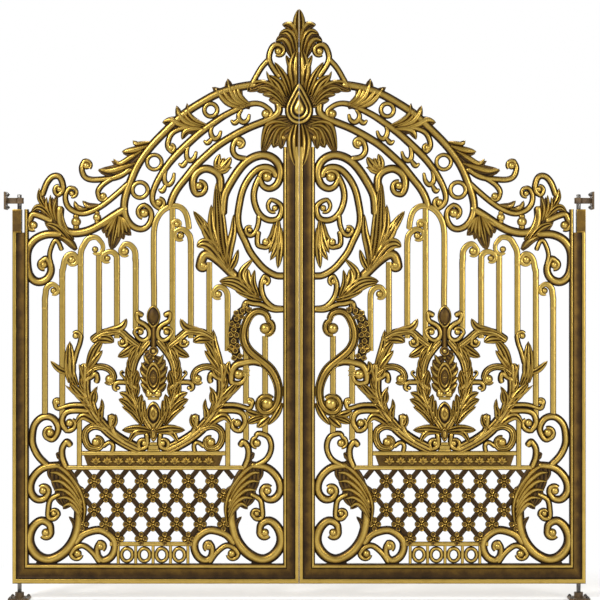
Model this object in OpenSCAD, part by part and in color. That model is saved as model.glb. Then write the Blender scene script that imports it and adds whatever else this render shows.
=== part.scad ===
/* [Opening] */
// Distance between the two pivot axes
pivot_span = 3516; // [3400:1:3600]
// Gap between the closed leaves
meeting_gap = 6; // [5:1:14]
// Height of the leaf's lower edge above the ground
ground_gap = 100; // [70:1:140]

/* [Frame] */
// Width of a stile
stile_w = 100; // [94:1:106]
// Height of the bottom rail
rail_h = 124; // [116:1:130]
// Depth of the frame
frame_d = 60; // [50:1:70]
// Width of the raised bead round the frame
bead_w = 19; // [14:1:24]
// Depth of the channel between the beads, on each face
channel_d = 10; // [4:1:16]
// Distance from a pivot axis to the outer edge of the leaf
pivot_inset = 42; // [38:1:46]
// Height of the hinge stile's shoulder
stile_top = 2305; // [2290:1:2320]
// Height of the pivot block over that shoulder
block_h = 146; // [126:1:160]
// Width of the open slot beside the pivot block
slot_w = 18; // [12:1:24]

/* [Pivots] */
// Diameter of the pivot pins
pin_d = 27; // [22:1:32]
// Length of the upper pin
top_pin_l = 94; // [80:1:110]
// Length of the lower pin
foot_pin_l = 82; // [60:1:88]
// Running clearance on the radius of a pin
pin_clear = 0.1; // [0.05:0.01:0.1]
// Side of the floor bearing's plate
floor_plate = 130; // [110:1:150]
// Side of the wall bracket's plate
wall_plate = 110; // [96:1:130]
// Thickness of both plates
plate_t = 12; // [8:1:16]
// Distance between the fixing holes of the floor bearing
floor_holes = 100; // [88:1:106]
// Distance between the fixing holes of the wall bracket
wall_holes = 80; // [72:1:84]
// Diameter of the fixing holes
hole_d = 12; // [8:0.5:14]
// Distance from a pivot axis to the wall face
wall_reach = 92; // [80:1:110]

/* [Castings] */
// Depth of the cast leaves
leaf_d = 30; // [20:1:34]
// Depth of the cast scrolls
scroll_d = 44; // [36:1:50]
// Depth of the shelf's rails
shelf_d = 34; // [28:1:40]
// Depth of the lattice bars
lattice_d = 20; // [16:1:26]
// Width of the upright bars
bar_w = 38; // [32:1:42]
// Depth of the upright bars
bar_d = 26; // [20:1:30]
// Distance between the upright bars
bar_pitch = 115.6; // [114:0.1:117]
// Gap left where one casting seats against another
seat = 0.3; // [0.2:0.05:0.5]

/* [Hidden] */

gold = "darkgoldenrod";
dark = "#5a4526";
big = 9000;
half = pivot_span / 2;
leaf_in = meeting_gap / 2;
leaf_out = half + pivot_inset;
bay_in = leaf_in + stile_w;
bay_out = leaf_out - stile_w;
rail_top = ground_gap + rail_h;
// The castings are drawn in a bay from 104 to 1700 across, over a rail at 224 and up to a shoulder at 2305
stretch = (bay_out - bay_in) / (1700 - 104);
rise = (stile_top - rail_top) / (2305 - 224);
first_bar = 218;
curl_turn = 160;
taper = 0.45;
panel_axis = 915;
frieze_axis = 908;
console_axis = 904;
lattice_foot = 380;

// Place of a drawn point in the leaf
function at(p) = [bay_in + (p.x - 104) * stretch, rail_top + (p.y - 224) * rise];
crest_z = at([0, 2840]).y;
// The same point in a drawing turned over about an upright axis
function turned(p, axis) = [2 * axis - p.x, p.y];
function turned_eye(e, axis) = len(e) > 0 ? [2 * axis - e.x, e.y, e[2]] : [];
function turn_scrolls(rows, axis) = [for (r = rows) [r[0], turned_eye(r[1], axis),
    [for (p = r[2]) turned(p, axis)], turned_eye(r[3], axis)]];
function turn_petals(rows, axis) = [for (r = rows) [r[0], [for (p = r[1]) turned(p, axis)]]];
// What stands on the bottom rail follows the lattice's foot up and down
function over_rail(x, z) = [x, 224 + (z - 224) * (lattice_foot - 224) / 156];
function follow(rows) = [for (r = rows) [r[0], r[1], [for (p = r[2]) over_rail(p.x, p.y)],
    concat(over_rail(r[3].x, r[3].y), r[3][2])]];
function reverse(p) = [for (i = [len(p) - 1:-1:0]) p[i]];
function cross_z(a, b) = a.x * b.y - a.y * b.x;
function knot(p, i) = i < 0 ? 2 * p[0] - p[1]
    : i >= len(p) ? 2 * p[len(p) - 1] - p[len(p) - 2] : p[i];
function blend(a, b, c, d, t) = (2 * b + (c - a) * t + (2 * a - 5 * b + 4 * c - d) * t * t
    + (3 * b - a - 3 * c + d) * t * t * t) / 2;
// Smooth curve through the given points, n steps to each stretch
function smooth(p, n) = [
    for (i = [0:len(p) - 2], k = [0:n - 1]) blend(knot(p, i - 1), p[i], p[i + 1], knot(p, i + 2), k / n),
    p[len(p) - 1]];
// Spiral that carries the end of a path round its eye
function curl(p, e) = let(
    a = p[len(p) - 1], c = [e.x, e.y], v = a - c, n = 5,
    s = sign(cross_z(a - p[len(p) - 2], -v)), r = norm(v), start = atan2(v.y, v.x))
    [for (i = [1:n]) c + (r + (e[2] - r) * i / n)
        * [cos(start + s * curl_turn * i / n), sin(start + s * curl_turn * i / n)]];
// Centre line of a scroll: [width, eye at the start, points, eye at the end]
function scroll_path(r) = let(
    p = smooth(r[2], 2),
    head = len(r[1]) > 0 ? reverse(curl(reverse(p), r[1])) : [],
    tail = len(r[3]) > 0 ? curl(p, r[3]) : [])
    concat(head, p, tail);
function end_taper(t) = 1 - taper * max(0, t - 0.55) / 0.45;
function scroll_width(r, t) = r[0] * (len(r[3]) > 0 ? end_taper(t) : 1)
    * (len(r[1]) > 0 ? end_taper(1 - t) : 1);
// Width of a leaf along its spine, pointed at the tip
function leaf_width(t) = t < 0.4 ? 0.5 + 0.5 * sin(90 * t / 0.4) : pow(cos(90 * (t - 0.4) / 0.6), 0.8);
function side(p, i) = let(d = p[min(i + 1, len(p) - 1)] - p[max(i - 1, 0)]) [-d.y, d.x] / norm(d);

// Band of the given widths along a path
module ribbon(p, w) {
    for (i = [0:len(p) - 2])
        polygon([p[i] + side(p, i) * w[i] / 2, p[i] - side(p, i) * w[i] / 2,
            p[i + 1] - side(p, i + 1) * w[i + 1] / 2, p[i + 1] + side(p, i + 1) * w[i + 1] / 2]);
}

module scroll(r) {
    p = scroll_path(r);
    ribbon(p, [for (i = [0:len(p) - 1]) scroll_width(r, i / (len(p) - 1))]);
    for (e = [r[1], r[3]])
        if (len(e) > 0) translate([e.x, e.y]) circle(r = e[2], $fn = 14);
}

module petal(r) {
    p = smooth(r[1], 2);
    ribbon(p, [for (i = [0:len(p) - 1]) r[0] * leaf_width(i / (len(p) - 1))]);
}

// A flat shape drawn in the plane of the leaf, given a thickness
module slab(t) {
    rotate([90, 0, 0]) linear_extrude(height = t, center = true) children();
}

// Castings, from the ones that lie on top to the ones that they cover.
// A scroll is [width, eye at the start, points, eye at the end], a petal is [width, spine].
arch_bars = [
    [54, [], [[287, 3234], [373, 3224], [460, 3200], [534, 3172], [587, 3138], [694, 3078], [758, 3025],
        [819, 2962], [900, 2886], [955, 2822], [1003, 2752], [1037, 2693], [1064, 2610], [1096, 2538],
        [1108, 2450], [1088, 2384], [1042, 2331], [981, 2317], [942, 2348], [920, 2406], [933, 2460],
        [971, 2478]], [973, 2428, 32]],
    [52, [209, 3052, 30], [[189, 3082], [231, 3120], [304, 3125], [386, 3082], [456, 3050], [500, 3022],
        [564, 2975], [628, 2934], [684, 2877], [750, 2818], [800, 2767], [850, 2700], [892, 2630],
        [922, 2564], [928, 2513], [913, 2476], [876, 2455]], [883, 2494, 26]],
    [52, [], [[130, 3112], [114, 3058], [161, 3032], [209, 3004], [269, 2986], [350, 2952], [417, 2911],
        [495, 2868], [546, 2825], [602, 2770], [663, 2722], [696, 2660], [757, 2602], [799, 2529],
        [811, 2470]], []]];
arch_ring_places = [[555, 3076, 56, 25], [910, 2748, 60, 32], [1000, 2573, 64, 33]];
anchor_rows = [
    [19, [], [[306, 3044], [314, 3020], [331, 3002], [355, 2995]], []],
    [19, [], [[361, 3074], [366, 3038], [353, 3000]], []],
    [19, [], [[385, 3056], [388, 3014], [405, 2986], [429, 2998]], []],
    [19, [], [[490, 2941], [498, 2919], [514, 2897], [552, 2878], [585, 2872]], []],
    [19, [], [[536, 2971], [553, 2943], [542, 2903], [530, 2889]], []],
    [19, [], [[650, 2831], [654, 2799], [666, 2767], [708, 2747], [740, 2729]], []],
    [19, [], [[690, 2851], [709, 2813], [696, 2777], [686, 2757]], []],
    [19, [], [[789, 2676], [797, 2640], [811, 2612], [841, 2588], [868, 2565]], []],
    [19, [], [[833, 2702], [845, 2666], [837, 2628], [827, 2604]], []]];
arch_leaf_scrolls = [
    [38, [], [[634, 2958], [712, 2965], [791, 2938], [822, 2885], [824, 2840], [803, 2813]],
        [808, 2838, 24]],
    [40, [], [[1068, 2702], [1136, 2655], [1234, 2640], [1310, 2638], [1352, 2660], [1368, 2714],
        [1351, 2754]], [1337, 2726, 26]]];
arch_leaf_petals = [
    [74, [[305, 3094], [384, 3146], [364, 3225]]],
    [85, [[336, 3097], [426, 3161], [448, 3276]]],
    [60, [[352, 3102], [472, 3172], [548, 3220]]],
    [58, [[550, 2957], [681, 3000], [705, 3122]]],
    [63, [[602, 2966], [734, 3013], [770, 3106]]],
    [88, [[648, 2935], [768, 2995], [862, 2998]]],
    [40, [[600, 2955], [690, 2950], [736, 2888]]],
    [38, [[930, 2854], [997, 2854], [1048, 2884]]],
    [70, [[948, 2818], [1030, 2816], [1109, 2800]]],
    [66, [[991, 2796], [1084, 2719], [1182, 2756]]],
    [90, [[1034, 2728], [1150, 2689], [1266, 2695]]],
    [74, [[1228, 2626], [1246, 2567], [1234, 2478]]]];
shoulder_scrolls = [
    [40, [], [[1077, 2611], [1136, 2557], [1208, 2497], [1276, 2452], [1354, 2424], [1418, 2440],
        [1459, 2478], [1470, 2537], [1445, 2584], [1413, 2582]], [1429, 2551, 20]],
    [58, [], [[1096, 2453], [1168, 2409], [1250, 2354], [1332, 2314], [1423, 2302], [1484, 2329],
        [1507, 2393], [1504, 2456]], []],
    [42, [], [[1613, 2546], [1587, 2616], [1550, 2658], [1507, 2657], [1486, 2610], [1487, 2565],
        [1515, 2540]], [1507, 2578, 22]],
    [48, [], [[1564, 2382], [1626, 2410], [1675, 2421], [1694, 2384]], [1670, 2352, 28]],
    [56, [], [[1509, 2294], [1590, 2294], [1662, 2262], [1706, 2199], [1712, 2116], [1696, 2036],
        [1646, 1994], [1586, 2012], [1558, 2074], [1585, 2141], [1618, 2125]], [1605, 2102, 26]],
    [32, [], [[1555, 2095], [1570, 2158], [1558, 2213], [1535, 2256], [1513, 2245], [1494, 2200]], []]];
shoulder_balls = [[1270, 2401, 27], [1402, 2373, 32]];
shoulder_petals = [
    [66, [[1142, 2414], [1102, 2334], [1054, 2286]]],
    [65, [[1155, 2412], [1128, 2328], [1101, 2260]]],
    [98, [[1163, 2420], [1157, 2303], [1182, 2192]]],
    [66, [[1170, 2419], [1188, 2335], [1212, 2269]]],
    [64, [[1165, 2405], [1210, 2352], [1232, 2298]]],
    [46, [[1508, 2372], [1538, 2462], [1520, 2546]]],
    [38, [[1520, 2356], [1552, 2450], [1550, 2532]]],
    [54, [[1536, 2358], [1611, 2460], [1606, 2546]]],
    [44, [[1536, 2384], [1612, 2484], [1636, 2588]]],
    [48, [[1536, 2388], [1616, 2465], [1693, 2428]]],
    [76, [[1420, 2252], [1506, 2301], [1604, 2376]]],
    [52, [[1401, 2196], [1446, 2248], [1526, 2288]]],
    [44, [[1252, 2475], [1318, 2470], [1364, 2506]]],
    [41, [[1332, 2448], [1395, 2462], [1412, 2507]]]];
lyre_scrolls = [
    [58, [], [[480, 2429], [474, 2516], [456, 2572], [400, 2669], [342, 2742], [279, 2782], [215, 2792],
        [158, 2769], [124, 2723], [118, 2666], [138, 2608], [184, 2581], [219, 2594]], [196, 2675, 30]],
    [48, [], [[101, 2032], [150, 2036], [218, 2076], [267, 2129], [310, 2188], [337, 2249], [376, 2331],
        [386, 2404], [374, 2490], [358, 2562], [332, 2621], [298, 2669], [248, 2706], [195, 2698]],
        [224, 2647, 28]],
    [44, [], [[250, 2651], [273, 2600], [285, 2544], [278, 2484], [250, 2423], [203, 2386], [146, 2384],
        [116, 2413], [111, 2471], [145, 2502], [175, 2512]], [151, 2459, 22]],
    [36, [], [[252, 2408], [258, 2350], [280, 2301], [309, 2286], [330, 2302]], [309, 2322, 20]],
    [40, [], [[335, 2769], [391, 2781], [418, 2819], [408, 2871], [382, 2896], [360, 2889]],
        [375, 2867, 26]],
    [54, [], [[496, 2574], [496, 2647], [529, 2690], [591, 2708], [642, 2682], [666, 2639], [664, 2582],
        [645, 2548], [613, 2550]], [629, 2598, 28]],
    [38, [], [[256, 2306], [262, 2267], [258, 2226], [225, 2214]], [209, 2245, 26]]];
lyre_petals = [
    [54, [[504, 2676], [456, 2742], [428, 2803]]],
    [59, [[505, 2685], [488, 2747], [494, 2799]]],
    [36, [[510, 2698], [466, 2710], [420, 2714]]],
    [40, [[476, 2703], [511, 2720], [541, 2713]]],
    [56, [[131, 2377], [143, 2280], [192, 2172]]],
    [56, [[130, 2350], [132, 2226], [183, 2128]]],
    [52, [[116, 2334], [122, 2184], [134, 2076]]],
    [30, [[158, 2360], [173, 2290], [215, 2242]]]];
plume_scrolls = [
    [64, [], [[408, 2035], [483, 2109], [553, 2163], [596, 2164], [616, 2123], [626, 2093]],
        [606, 2100, 26]],
    [40, [], [[102, 1826], [163, 1835], [215, 1884], [236, 1942], [235, 1992], [218, 2032]],
        [217, 1997, 22]]];
plume_petals = [
    [80, [[385, 2036], [480, 2178], [505, 2406], [511, 2636]]],
    [50, [[385, 2060], [403, 2134], [378, 2213]]],
    [46, [[433, 2078], [426, 2232], [418, 2434]]],
    [44, [[450, 2122], [454, 2234], [436, 2362]]],
    [36, [[488, 2234], [478, 2358], [458, 2472]]],
    [76, [[497, 2180], [560, 2330], [554, 2492]]],
    [60, [[504, 2195], [579, 2302], [598, 2430]]],
    [70, [[513, 2238], [598, 2342], [669, 2453]]],
    [34, [[513, 2225], [586, 2272], [626, 2326]]],
    [76, [[452, 2110], [556, 2235], [649, 2213]]],
    [40, [[253, 1898], [288, 1993], [278, 2073]]],
    [60, [[274, 1901], [322, 2008], [320, 2078]]],
    [52, [[290, 1910], [365, 2042], [283, 2146]]],
    [92, [[263, 1889], [393, 1987], [503, 1999]]],
    [40, [[230, 1880], [314, 1903], [401, 1936]]]];
s_scrolls = [
    [80, [210, 1709, 30], [[225, 1669], [190, 1694], [188, 1764], [234, 1806], [275, 1826], [307, 1787],
        [342, 1720], [348, 1650], [346, 1574], [316, 1520], [252, 1468], [188, 1415], [146, 1346],
        [138, 1285], [140, 1224], [162, 1173], [200, 1149], [236, 1164], [268, 1208]], [186, 1226, 40]],
    [54, [], [[286, 1474], [344, 1482], [399, 1470], [426, 1417], [425, 1365]], [379, 1413, 35]],
    [38, [], [[100, 1820], [169, 1820], [235, 1852], [290, 1858], [332, 1868], [348, 1835]], []]];
s_petals = [
    [57, [[188, 1147], [231, 1107], [268, 1079]]],
    [58, [[224, 1147], [284, 1128], [326, 1105]]],
    [46, [[106, 1234], [145, 1156], [198, 1092]]],
    [52, [[246, 1154], [295, 1166], [336, 1186]]],
    [40, [[413, 1548], [438, 1575], [452, 1564]]],
    [45, [[424, 1403], [449, 1456], [434, 1498]]]];
scale_spine = [[325, 1835], [378, 1790], [405, 1720], [412, 1640], [402, 1570], [385, 1505]];
console_scrolls = [
    [54, [], [[290, 840], [209, 830], [152, 787], [120, 729], [122, 669], [160, 628], [208, 632],
        [232, 666]], [199, 682, 28]],
    [38, [], [[298, 659], [244, 626], [232, 569], [232, 514], [269, 506], [295, 532]], [266, 538, 22]],
    [68, [], [[426, 618], [426, 536], [417, 450], [390, 368], [337, 299], [267, 255], [209, 250],
        [155, 280], [116, 337], [112, 399], [140, 460], [189, 495], [238, 471], [247, 428]],
        [215, 418, 28]],
    [44, [], [[341, 834], [320, 888], [318, 946], [338, 981], [352, 990], [368, 969]], []]];
console_petals = [
    [44, [[261, 852], [242, 795], [259, 736]]],
    [102, [[299, 855], [296, 742], [336, 626]]],
    [92, [[288, 866], [376, 730], [416, 552]]],
    [68, [[306, 718], [304, 644], [333, 580]]],
    [84, [[458, 626], [408, 680], [328, 626]]],
    [70, [[428, 538], [382, 616], [322, 564]]],
    [38, [[398, 408], [398, 474], [360, 520]]],
    [44, [[319, 869], [298, 905], [278, 917]]]];
inner_c_scroll = [
    [40, [], [[272, 840], [209, 875], [179, 928], [176, 981], [200, 1027], [256, 1043], [276, 1017]],
        [265, 981, 28]]];
outer_c_scroll = [
    [48, [], [[1586, 844], [1640, 899], [1674, 968], [1677, 1032], [1662, 1100], [1611, 1146],
        [1550, 1140], [1515, 1089], [1521, 1041], [1551, 1001], [1589, 1017]], [1565, 1047, 30]]];
frieze_scrolls = [
    [54, [], [[414, 357], [459, 408], [553, 436], [615, 411], [655, 365], [656, 309], [629, 261],
        [583, 242], [551, 269], [546, 321], [562, 355]], [567, 331, 26]],
    [40, [], [[559, 237], [519, 293], [460, 338], [409, 322], [382, 285]], [424, 286, 27]]];
wreath_scrolls = [
    [38, [], [[841, 1786], [816, 1800], [809, 1789], [816, 1749], [858, 1728], [888, 1693], [887, 1646],
        [853, 1625], [819, 1641], [795, 1676]], [833, 1680, 22]],
    [56, [], [[536, 1632], [589, 1668], [646, 1681], [707, 1680], [753, 1640], [812, 1594]], []],
    [30, [], [[700, 1686], [737, 1654], [748, 1604]], [719, 1620, 20]],
    [46, [], [[498, 1421], [547, 1457], [603, 1460], [649, 1436], [665, 1397], [660, 1388]],
        [639, 1384, 30]],
    [38, [], [[818, 1322], [755, 1362], [692, 1364]], [692, 1328, 15]],
    [18, [], [[788, 1317], [754, 1362], [717, 1407]], [724, 1425, 9]],
    [40, [], [[489, 1378], [534, 1406], [552, 1419], [562, 1387], [556, 1368]], []],
    [76, [], [[816, 944], [708, 1000], [618, 1070], [535, 1172], [484, 1285], [484, 1392], [487, 1462]],
        []],
    [42, [], [[725, 990], [671, 1038], [648, 1098], [644, 1148]], [651, 1126, 19]],
    [50, [], [[623, 1065], [548, 1091], [488, 1057], [487, 998], [516, 952], [572, 951]],
        [554, 988, 30]],
    [32, [], [[600, 962], [637, 988], [662, 968], [656, 930]], []],
    [34, [], [[481, 1222], [390, 1222], [312, 1196], [296, 1229]], [310, 1239, 21]],
    [44, [], [[496, 1184], [403, 1187], [352, 1165], [338, 1107], [370, 1061]], [387, 1108, 28]],
    [58, [], [[894, 1082], [818, 1204], [780, 1306], [776, 1412], [800, 1516], [878, 1616]], []],
    [38, [], [[872, 1035], [876, 963], [834, 944]], [858, 980, 23]]];
wreath_petals = [
    [54, [[604, 1687], [710, 1706], [747, 1766]]],
    [70, [[560, 1634], [622, 1639], [668, 1614]]],
    [66, [[500, 1454], [546, 1568], [596, 1628]]],
    [50, [[502, 1442], [546, 1506], [596, 1566]]],
    [44, [[567, 1134], [525, 1256], [564, 1340]]],
    [44, [[585, 1118], [582, 1178], [600, 1222]]],
    [64, [[510, 1221], [440, 1300], [386, 1362]]],
    [56, [[584, 1082], [476, 1155], [422, 1097]]],
    [32, [[486, 1344], [465, 1422], [446, 1481]]],
    [32, [[514, 1260], [444, 1278], [356, 1349]]],
    [38, [[842, 1094], [782, 1170], [714, 1212]]],
    [58, [[832, 1140], [752, 1230], [694, 1258]]],
    [56, [[806, 1198], [756, 1274], [698, 1300]]],
    [58, [[783, 1322], [790, 1384], [815, 1442]]],
    [62, [[850, 1104], [825, 1204], [842, 1292]]],
    [36, [[862, 1112], [854, 1184], [860, 1256]]],
    [64, [[815, 1605], [749, 1552], [688, 1522]]],
    [40, [[820, 1600], [775, 1550], [763, 1490]]],
    [48, [[841, 1610], [818, 1550], [798, 1486]]],
    [66, [[898, 1056], [808, 1068], [714, 1062]]],
    [46, [[890, 1051], [802, 1050], [754, 975]]]];
wreath_inner_petal = [
    [48, [[478, 1446], [524, 1578], [540, 1698]]]];
wreath_outer_petals = [
    [80, [[1436, 1360], [1442, 1483], [1441, 1624]]],
    [46, [[1444, 1419], [1509, 1446], [1564, 1499]]],
    [60, [[1396, 1340], [1437, 1434], [1424, 1548]]]];
wreath_outer_scroll = [
    [34, [], [[1416, 1485], [1396, 1560], [1380, 1602], [1372, 1639]], [1404, 1656, 22]]];
medallion_petals = [
    [94, [[915, 1715], [915, 1781], [913, 1864]]],
    [110, [[899, 1563], [905, 1432], [911, 1307]]],
    [62, [[910, 1524], [869, 1490], [838, 1502]]],
    [56, [[910, 1486], [865, 1436], [826, 1464]]],
    [48, [[905, 1438], [865, 1388], [839, 1422]]],
    [40, [[907, 1402], [872, 1354], [834, 1398]]],
    [56, [[902, 1354], [877, 1320], [832, 1353]]],
    [84, [[915, 1558], [952, 1521], [972, 1514]]],
    [76, [[925, 1498], [970, 1450], [993, 1469]]],
    [44, [[925, 1443], [961, 1393], [988, 1427]]],
    [44, [[925, 1400], [958, 1350], [996, 1398]]],
    [62, [[917, 1352], [947, 1309], [986, 1345]]],
    [112, [[919, 1100], [915, 1173], [907, 1266]]],
    [58, [[915, 1108], [915, 1036], [915, 958]]]];
finial_scrolls = [
    [40, [], [[128, 3288], [180, 3367], [188, 3420], [165, 3476], [131, 3487], [101, 3469]],
        [130, 3446, 26]],
    [38, [], [[194, 3390], [235, 3345], [268, 3290], [297, 3236]], []]];
finial_petals = [
    [84, [[0, 3518], [0, 3628], [0, 3720]]],
    [70, [[10, 3470], [39, 3592], [107, 3616]]],
    [82, [[20, 3430], [62, 3550], [128, 3548]]],
    [70, [[40, 3408], [86, 3522], [148, 3510]]],
    [108, [[16, 3216], [24, 3346], [12, 3451]]],
    [54, [[31, 3192], [42, 3318], [84, 3424]]],
    [49, [[52, 3168], [93, 3284], [155, 3379]]],
    [56, [[82, 3158], [125, 3244], [198, 3296]]],
    [26, [[135, 3194], [182, 3264], [206, 3322]]],
    [73, [[62, 3140], [184, 3230], [328, 3192]]],
    [58, [[70, 3132], [160, 3202], [264, 3188]]],
    [54, [[70, 3124], [150, 3170], [232, 3172]]],
    [72, [[76, 3100], [136, 3138], [192, 3140]]],
    [104, [[44, 3014], [159, 2971], [233, 2794]]],
    [92, [[34, 2978], [119, 2923], [164, 2836]]],
    [76, [[30, 2968], [104, 2914], [114, 2828]]],
    [162, [[0, 2992], [0, 2848], [4, 2704]]]];
// Bar that runs up into the arch and turns over
arch_upright_rows = [
    beside([38, [[0, 1830], [2, 2050], [2, 2249], [-4, 2332], [-36, 2405], [-88, 2455],
        [-141, 2475], [-188, 2462], [-198, 2400], [-212, 2327]], []], 6),
    beside([24, [[-114, 2325], [-114, 2364], [-132, 2380]], [-140, 2350, 19]], 6)];
inner_console_scrolls = concat(console_scrolls, inner_c_scroll);
outer_console_scrolls = concat(turn_scrolls(console_scrolls, console_axis), outer_c_scroll);
both_wreath_scrolls = concat(wreath_scrolls, turn_scrolls(wreath_scrolls, panel_axis), wreath_outer_scroll);
both_wreath_petals = concat(wreath_petals, turn_petals(wreath_petals, panel_axis), wreath_inner_petal,
    wreath_outer_petals);
low_scrolls = follow(frieze_scrolls);
both_frieze_scrolls = concat(low_scrolls, turn_scrolls(low_scrolls, frieze_axis));

// Each row: [scrolls, petals, rows that lie on top of it]
finial = 0;
arch_leaves = 1;
shoulder_leaves = 2;
medallion = 3;
arch_bar_set = 4;
shoulder_scroll_set = 5;
plume = 6;
wreath = 7;
s_scroll = 8;
lyre = 9;
arch_rings = 10;
inner_console = 11;
outer_console = 12;
shelf = 13;
frieze = 14;
lattice = 15;
uprights = 16;
castings = [
    [finial_scrolls, finial_petals, []],
    [arch_leaf_scrolls, arch_leaf_petals, []],
    [[], shoulder_petals, []],
    [[], medallion_petals, []],
    [concat(arch_bars, arch_upright_rows), [], [finial, arch_leaves, shoulder_leaves, medallion]],
    [shoulder_scrolls, [], [arch_leaves, shoulder_leaves, arch_bar_set]],
    [plume_scrolls, plume_petals, []],
    [both_wreath_scrolls, both_wreath_petals, [medallion]],
    [s_scrolls, s_petals, [plume, wreath]],
    [lyre_scrolls, lyre_petals, [finial, arch_bar_set, plume]],
    [anchor_rows, [], [arch_leaves, arch_bar_set]],
    [inner_console_scrolls, console_petals, [wreath, s_scroll]],
    [outer_console_scrolls, turn_petals(console_petals, console_axis), [wreath]],
    [[], [], [medallion, wreath, inner_console, outer_console]],
    [both_frieze_scrolls, [], [inner_console, outer_console]],
    [[], [], [inner_console, outer_console, shelf, frieze]],
    [[], [], [arch_leaves, shoulder_leaves, medallion, arch_bar_set, shoulder_scroll_set, plume, wreath,
        s_scroll, lyre, inner_console, outer_console, shelf]]];

// Bars that stand in the bay: [number, foot, head], and for a hooked head its width, then its points
// and its eye measured sideways from the bar
upright_rows = [
    [-0.04, 1040, 1655],
    [1, 1000, 1176],
    [1, 1228, 1780],
    [2, 1560, 1875, 50, [[-4, 1875], [1, 1913], [3, 1940], [28, 1963], [53, 1961], [59, 1939]],
        [62, 1925, 21]],
    [3, 1600, 2120],
    [4, 1640, 2236, 42, [[0, 2236], [3, 2264], [10, 2290], [37, 2318], [66, 2328], [97, 2311]],
        [64, 2286, 24]],
    [5, 1600, 2460],
    [7, 1700, 2140, 42, [[3, 2140], [2, 2164], [9, 2198], [36, 2228], [68, 2233], [94, 2200]],
        [69, 2188, 29]],
    [8.02, 1640, 2080, 50, [[0, 2080], [1, 2124], [2, 2156], [25, 2182], [59, 2183], [87, 2166]],
        [60, 2144, 21]],
    [9, 1600, 2160],
    [10, 1640, 2162, 52, [[0, 2162], [-5, 2196], [-19, 2224], [-47, 2267], [-99, 2276],
        [-134, 2239]], [-92, 2200, 21]],
    [11, 1080, 2076, 38, [[-5, 2076], [-11, 2108], [-18, 2136], [-39, 2164], [-73, 2171],
        [-97, 2134]], [-60, 2134, 27]],
    [11.94, 1150, 1890, 42, [[0, 1890], [-5, 1926], [-8, 1950], [-25, 1972], [-49, 1981],
        [-75, 1966]], [-54, 1940, 21]]];
lattice_x = 74;
lattice_bar = 31;
shelf_low = 827;
lattice_z = min(90.5, (shelf_low - lattice_foot - 85) / 4);
shelf_high = 917;
shelf_bar = 30;
flower_pitch = 70.7;
ring_bore = 0.45;
frieze_pitch = 109.5;
frieze_rail_z = lattice_foot - 33;

function bar_x(k) = first_bar + bar_pitch * k;
// The same scroll measured from an upright bar
function beside(r, k) = [r[0], [], [for (p = r[1]) [bar_x(k) + p.x, p.y]],
    len(r[2]) > 0 ? [bar_x(k) + r[2].x, r[2].y, r[2][2]] : []];
function hook_row(r) = beside([r[3], r[4], r[5]], r[0]);

module upright(r) {
    x = bar_x(r[0]);
    ribbon([[x, r[1]], [x, r[2]]], [bar_w, bar_w]);
    if (len(r) > 3) scroll(hook_row(r));
}

module tear(w, low, high) {
    c = [0, low + w];
    h = high - low - w;
    translate(c) circle(r = w, $fn = 32);
    polygon([c + [-w, 0], c + [w, 0], c + [w * 0.62, h * 0.5], c + [0, h], c + [-w * 0.62, h * 0.5]]);
}

module block(x0, z0, x1, z1) {
    translate([x0, z0]) square([x1 - x0, z1 - z0]);
}

module lattice_face() {
    intersection() {
        polygon([[385, 822], [452 + max(0, lattice_foot - 380) * 0.4, 700], over_rail(455, 470),
            over_rail(430, 400), over_rail(480, 415), over_rail(560, 430), [645, lattice_foot],
            [660, frieze_rail_z - 5], [1175, frieze_rail_z - 5], [1190, lattice_foot + 5],
            over_rail(1270, 430), over_rail(1350, 415), over_rail(1400, 400),
            over_rail(1372, 470), [1374, 700], [1445 - max(0, lattice_foot - 380), 822]]);
        union()
            for (i = [-11:11], s = [-1, 1])
                if (i % 2 != 0)
                    ribbon([[918 + lattice_x * (i - 9 * s), lattice_foot - lattice_z * 9],
                        [918 + lattice_x * (i + 9 * s), lattice_foot + lattice_z * 9]],
                        [lattice_bar, lattice_bar]);
    }
}

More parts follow.
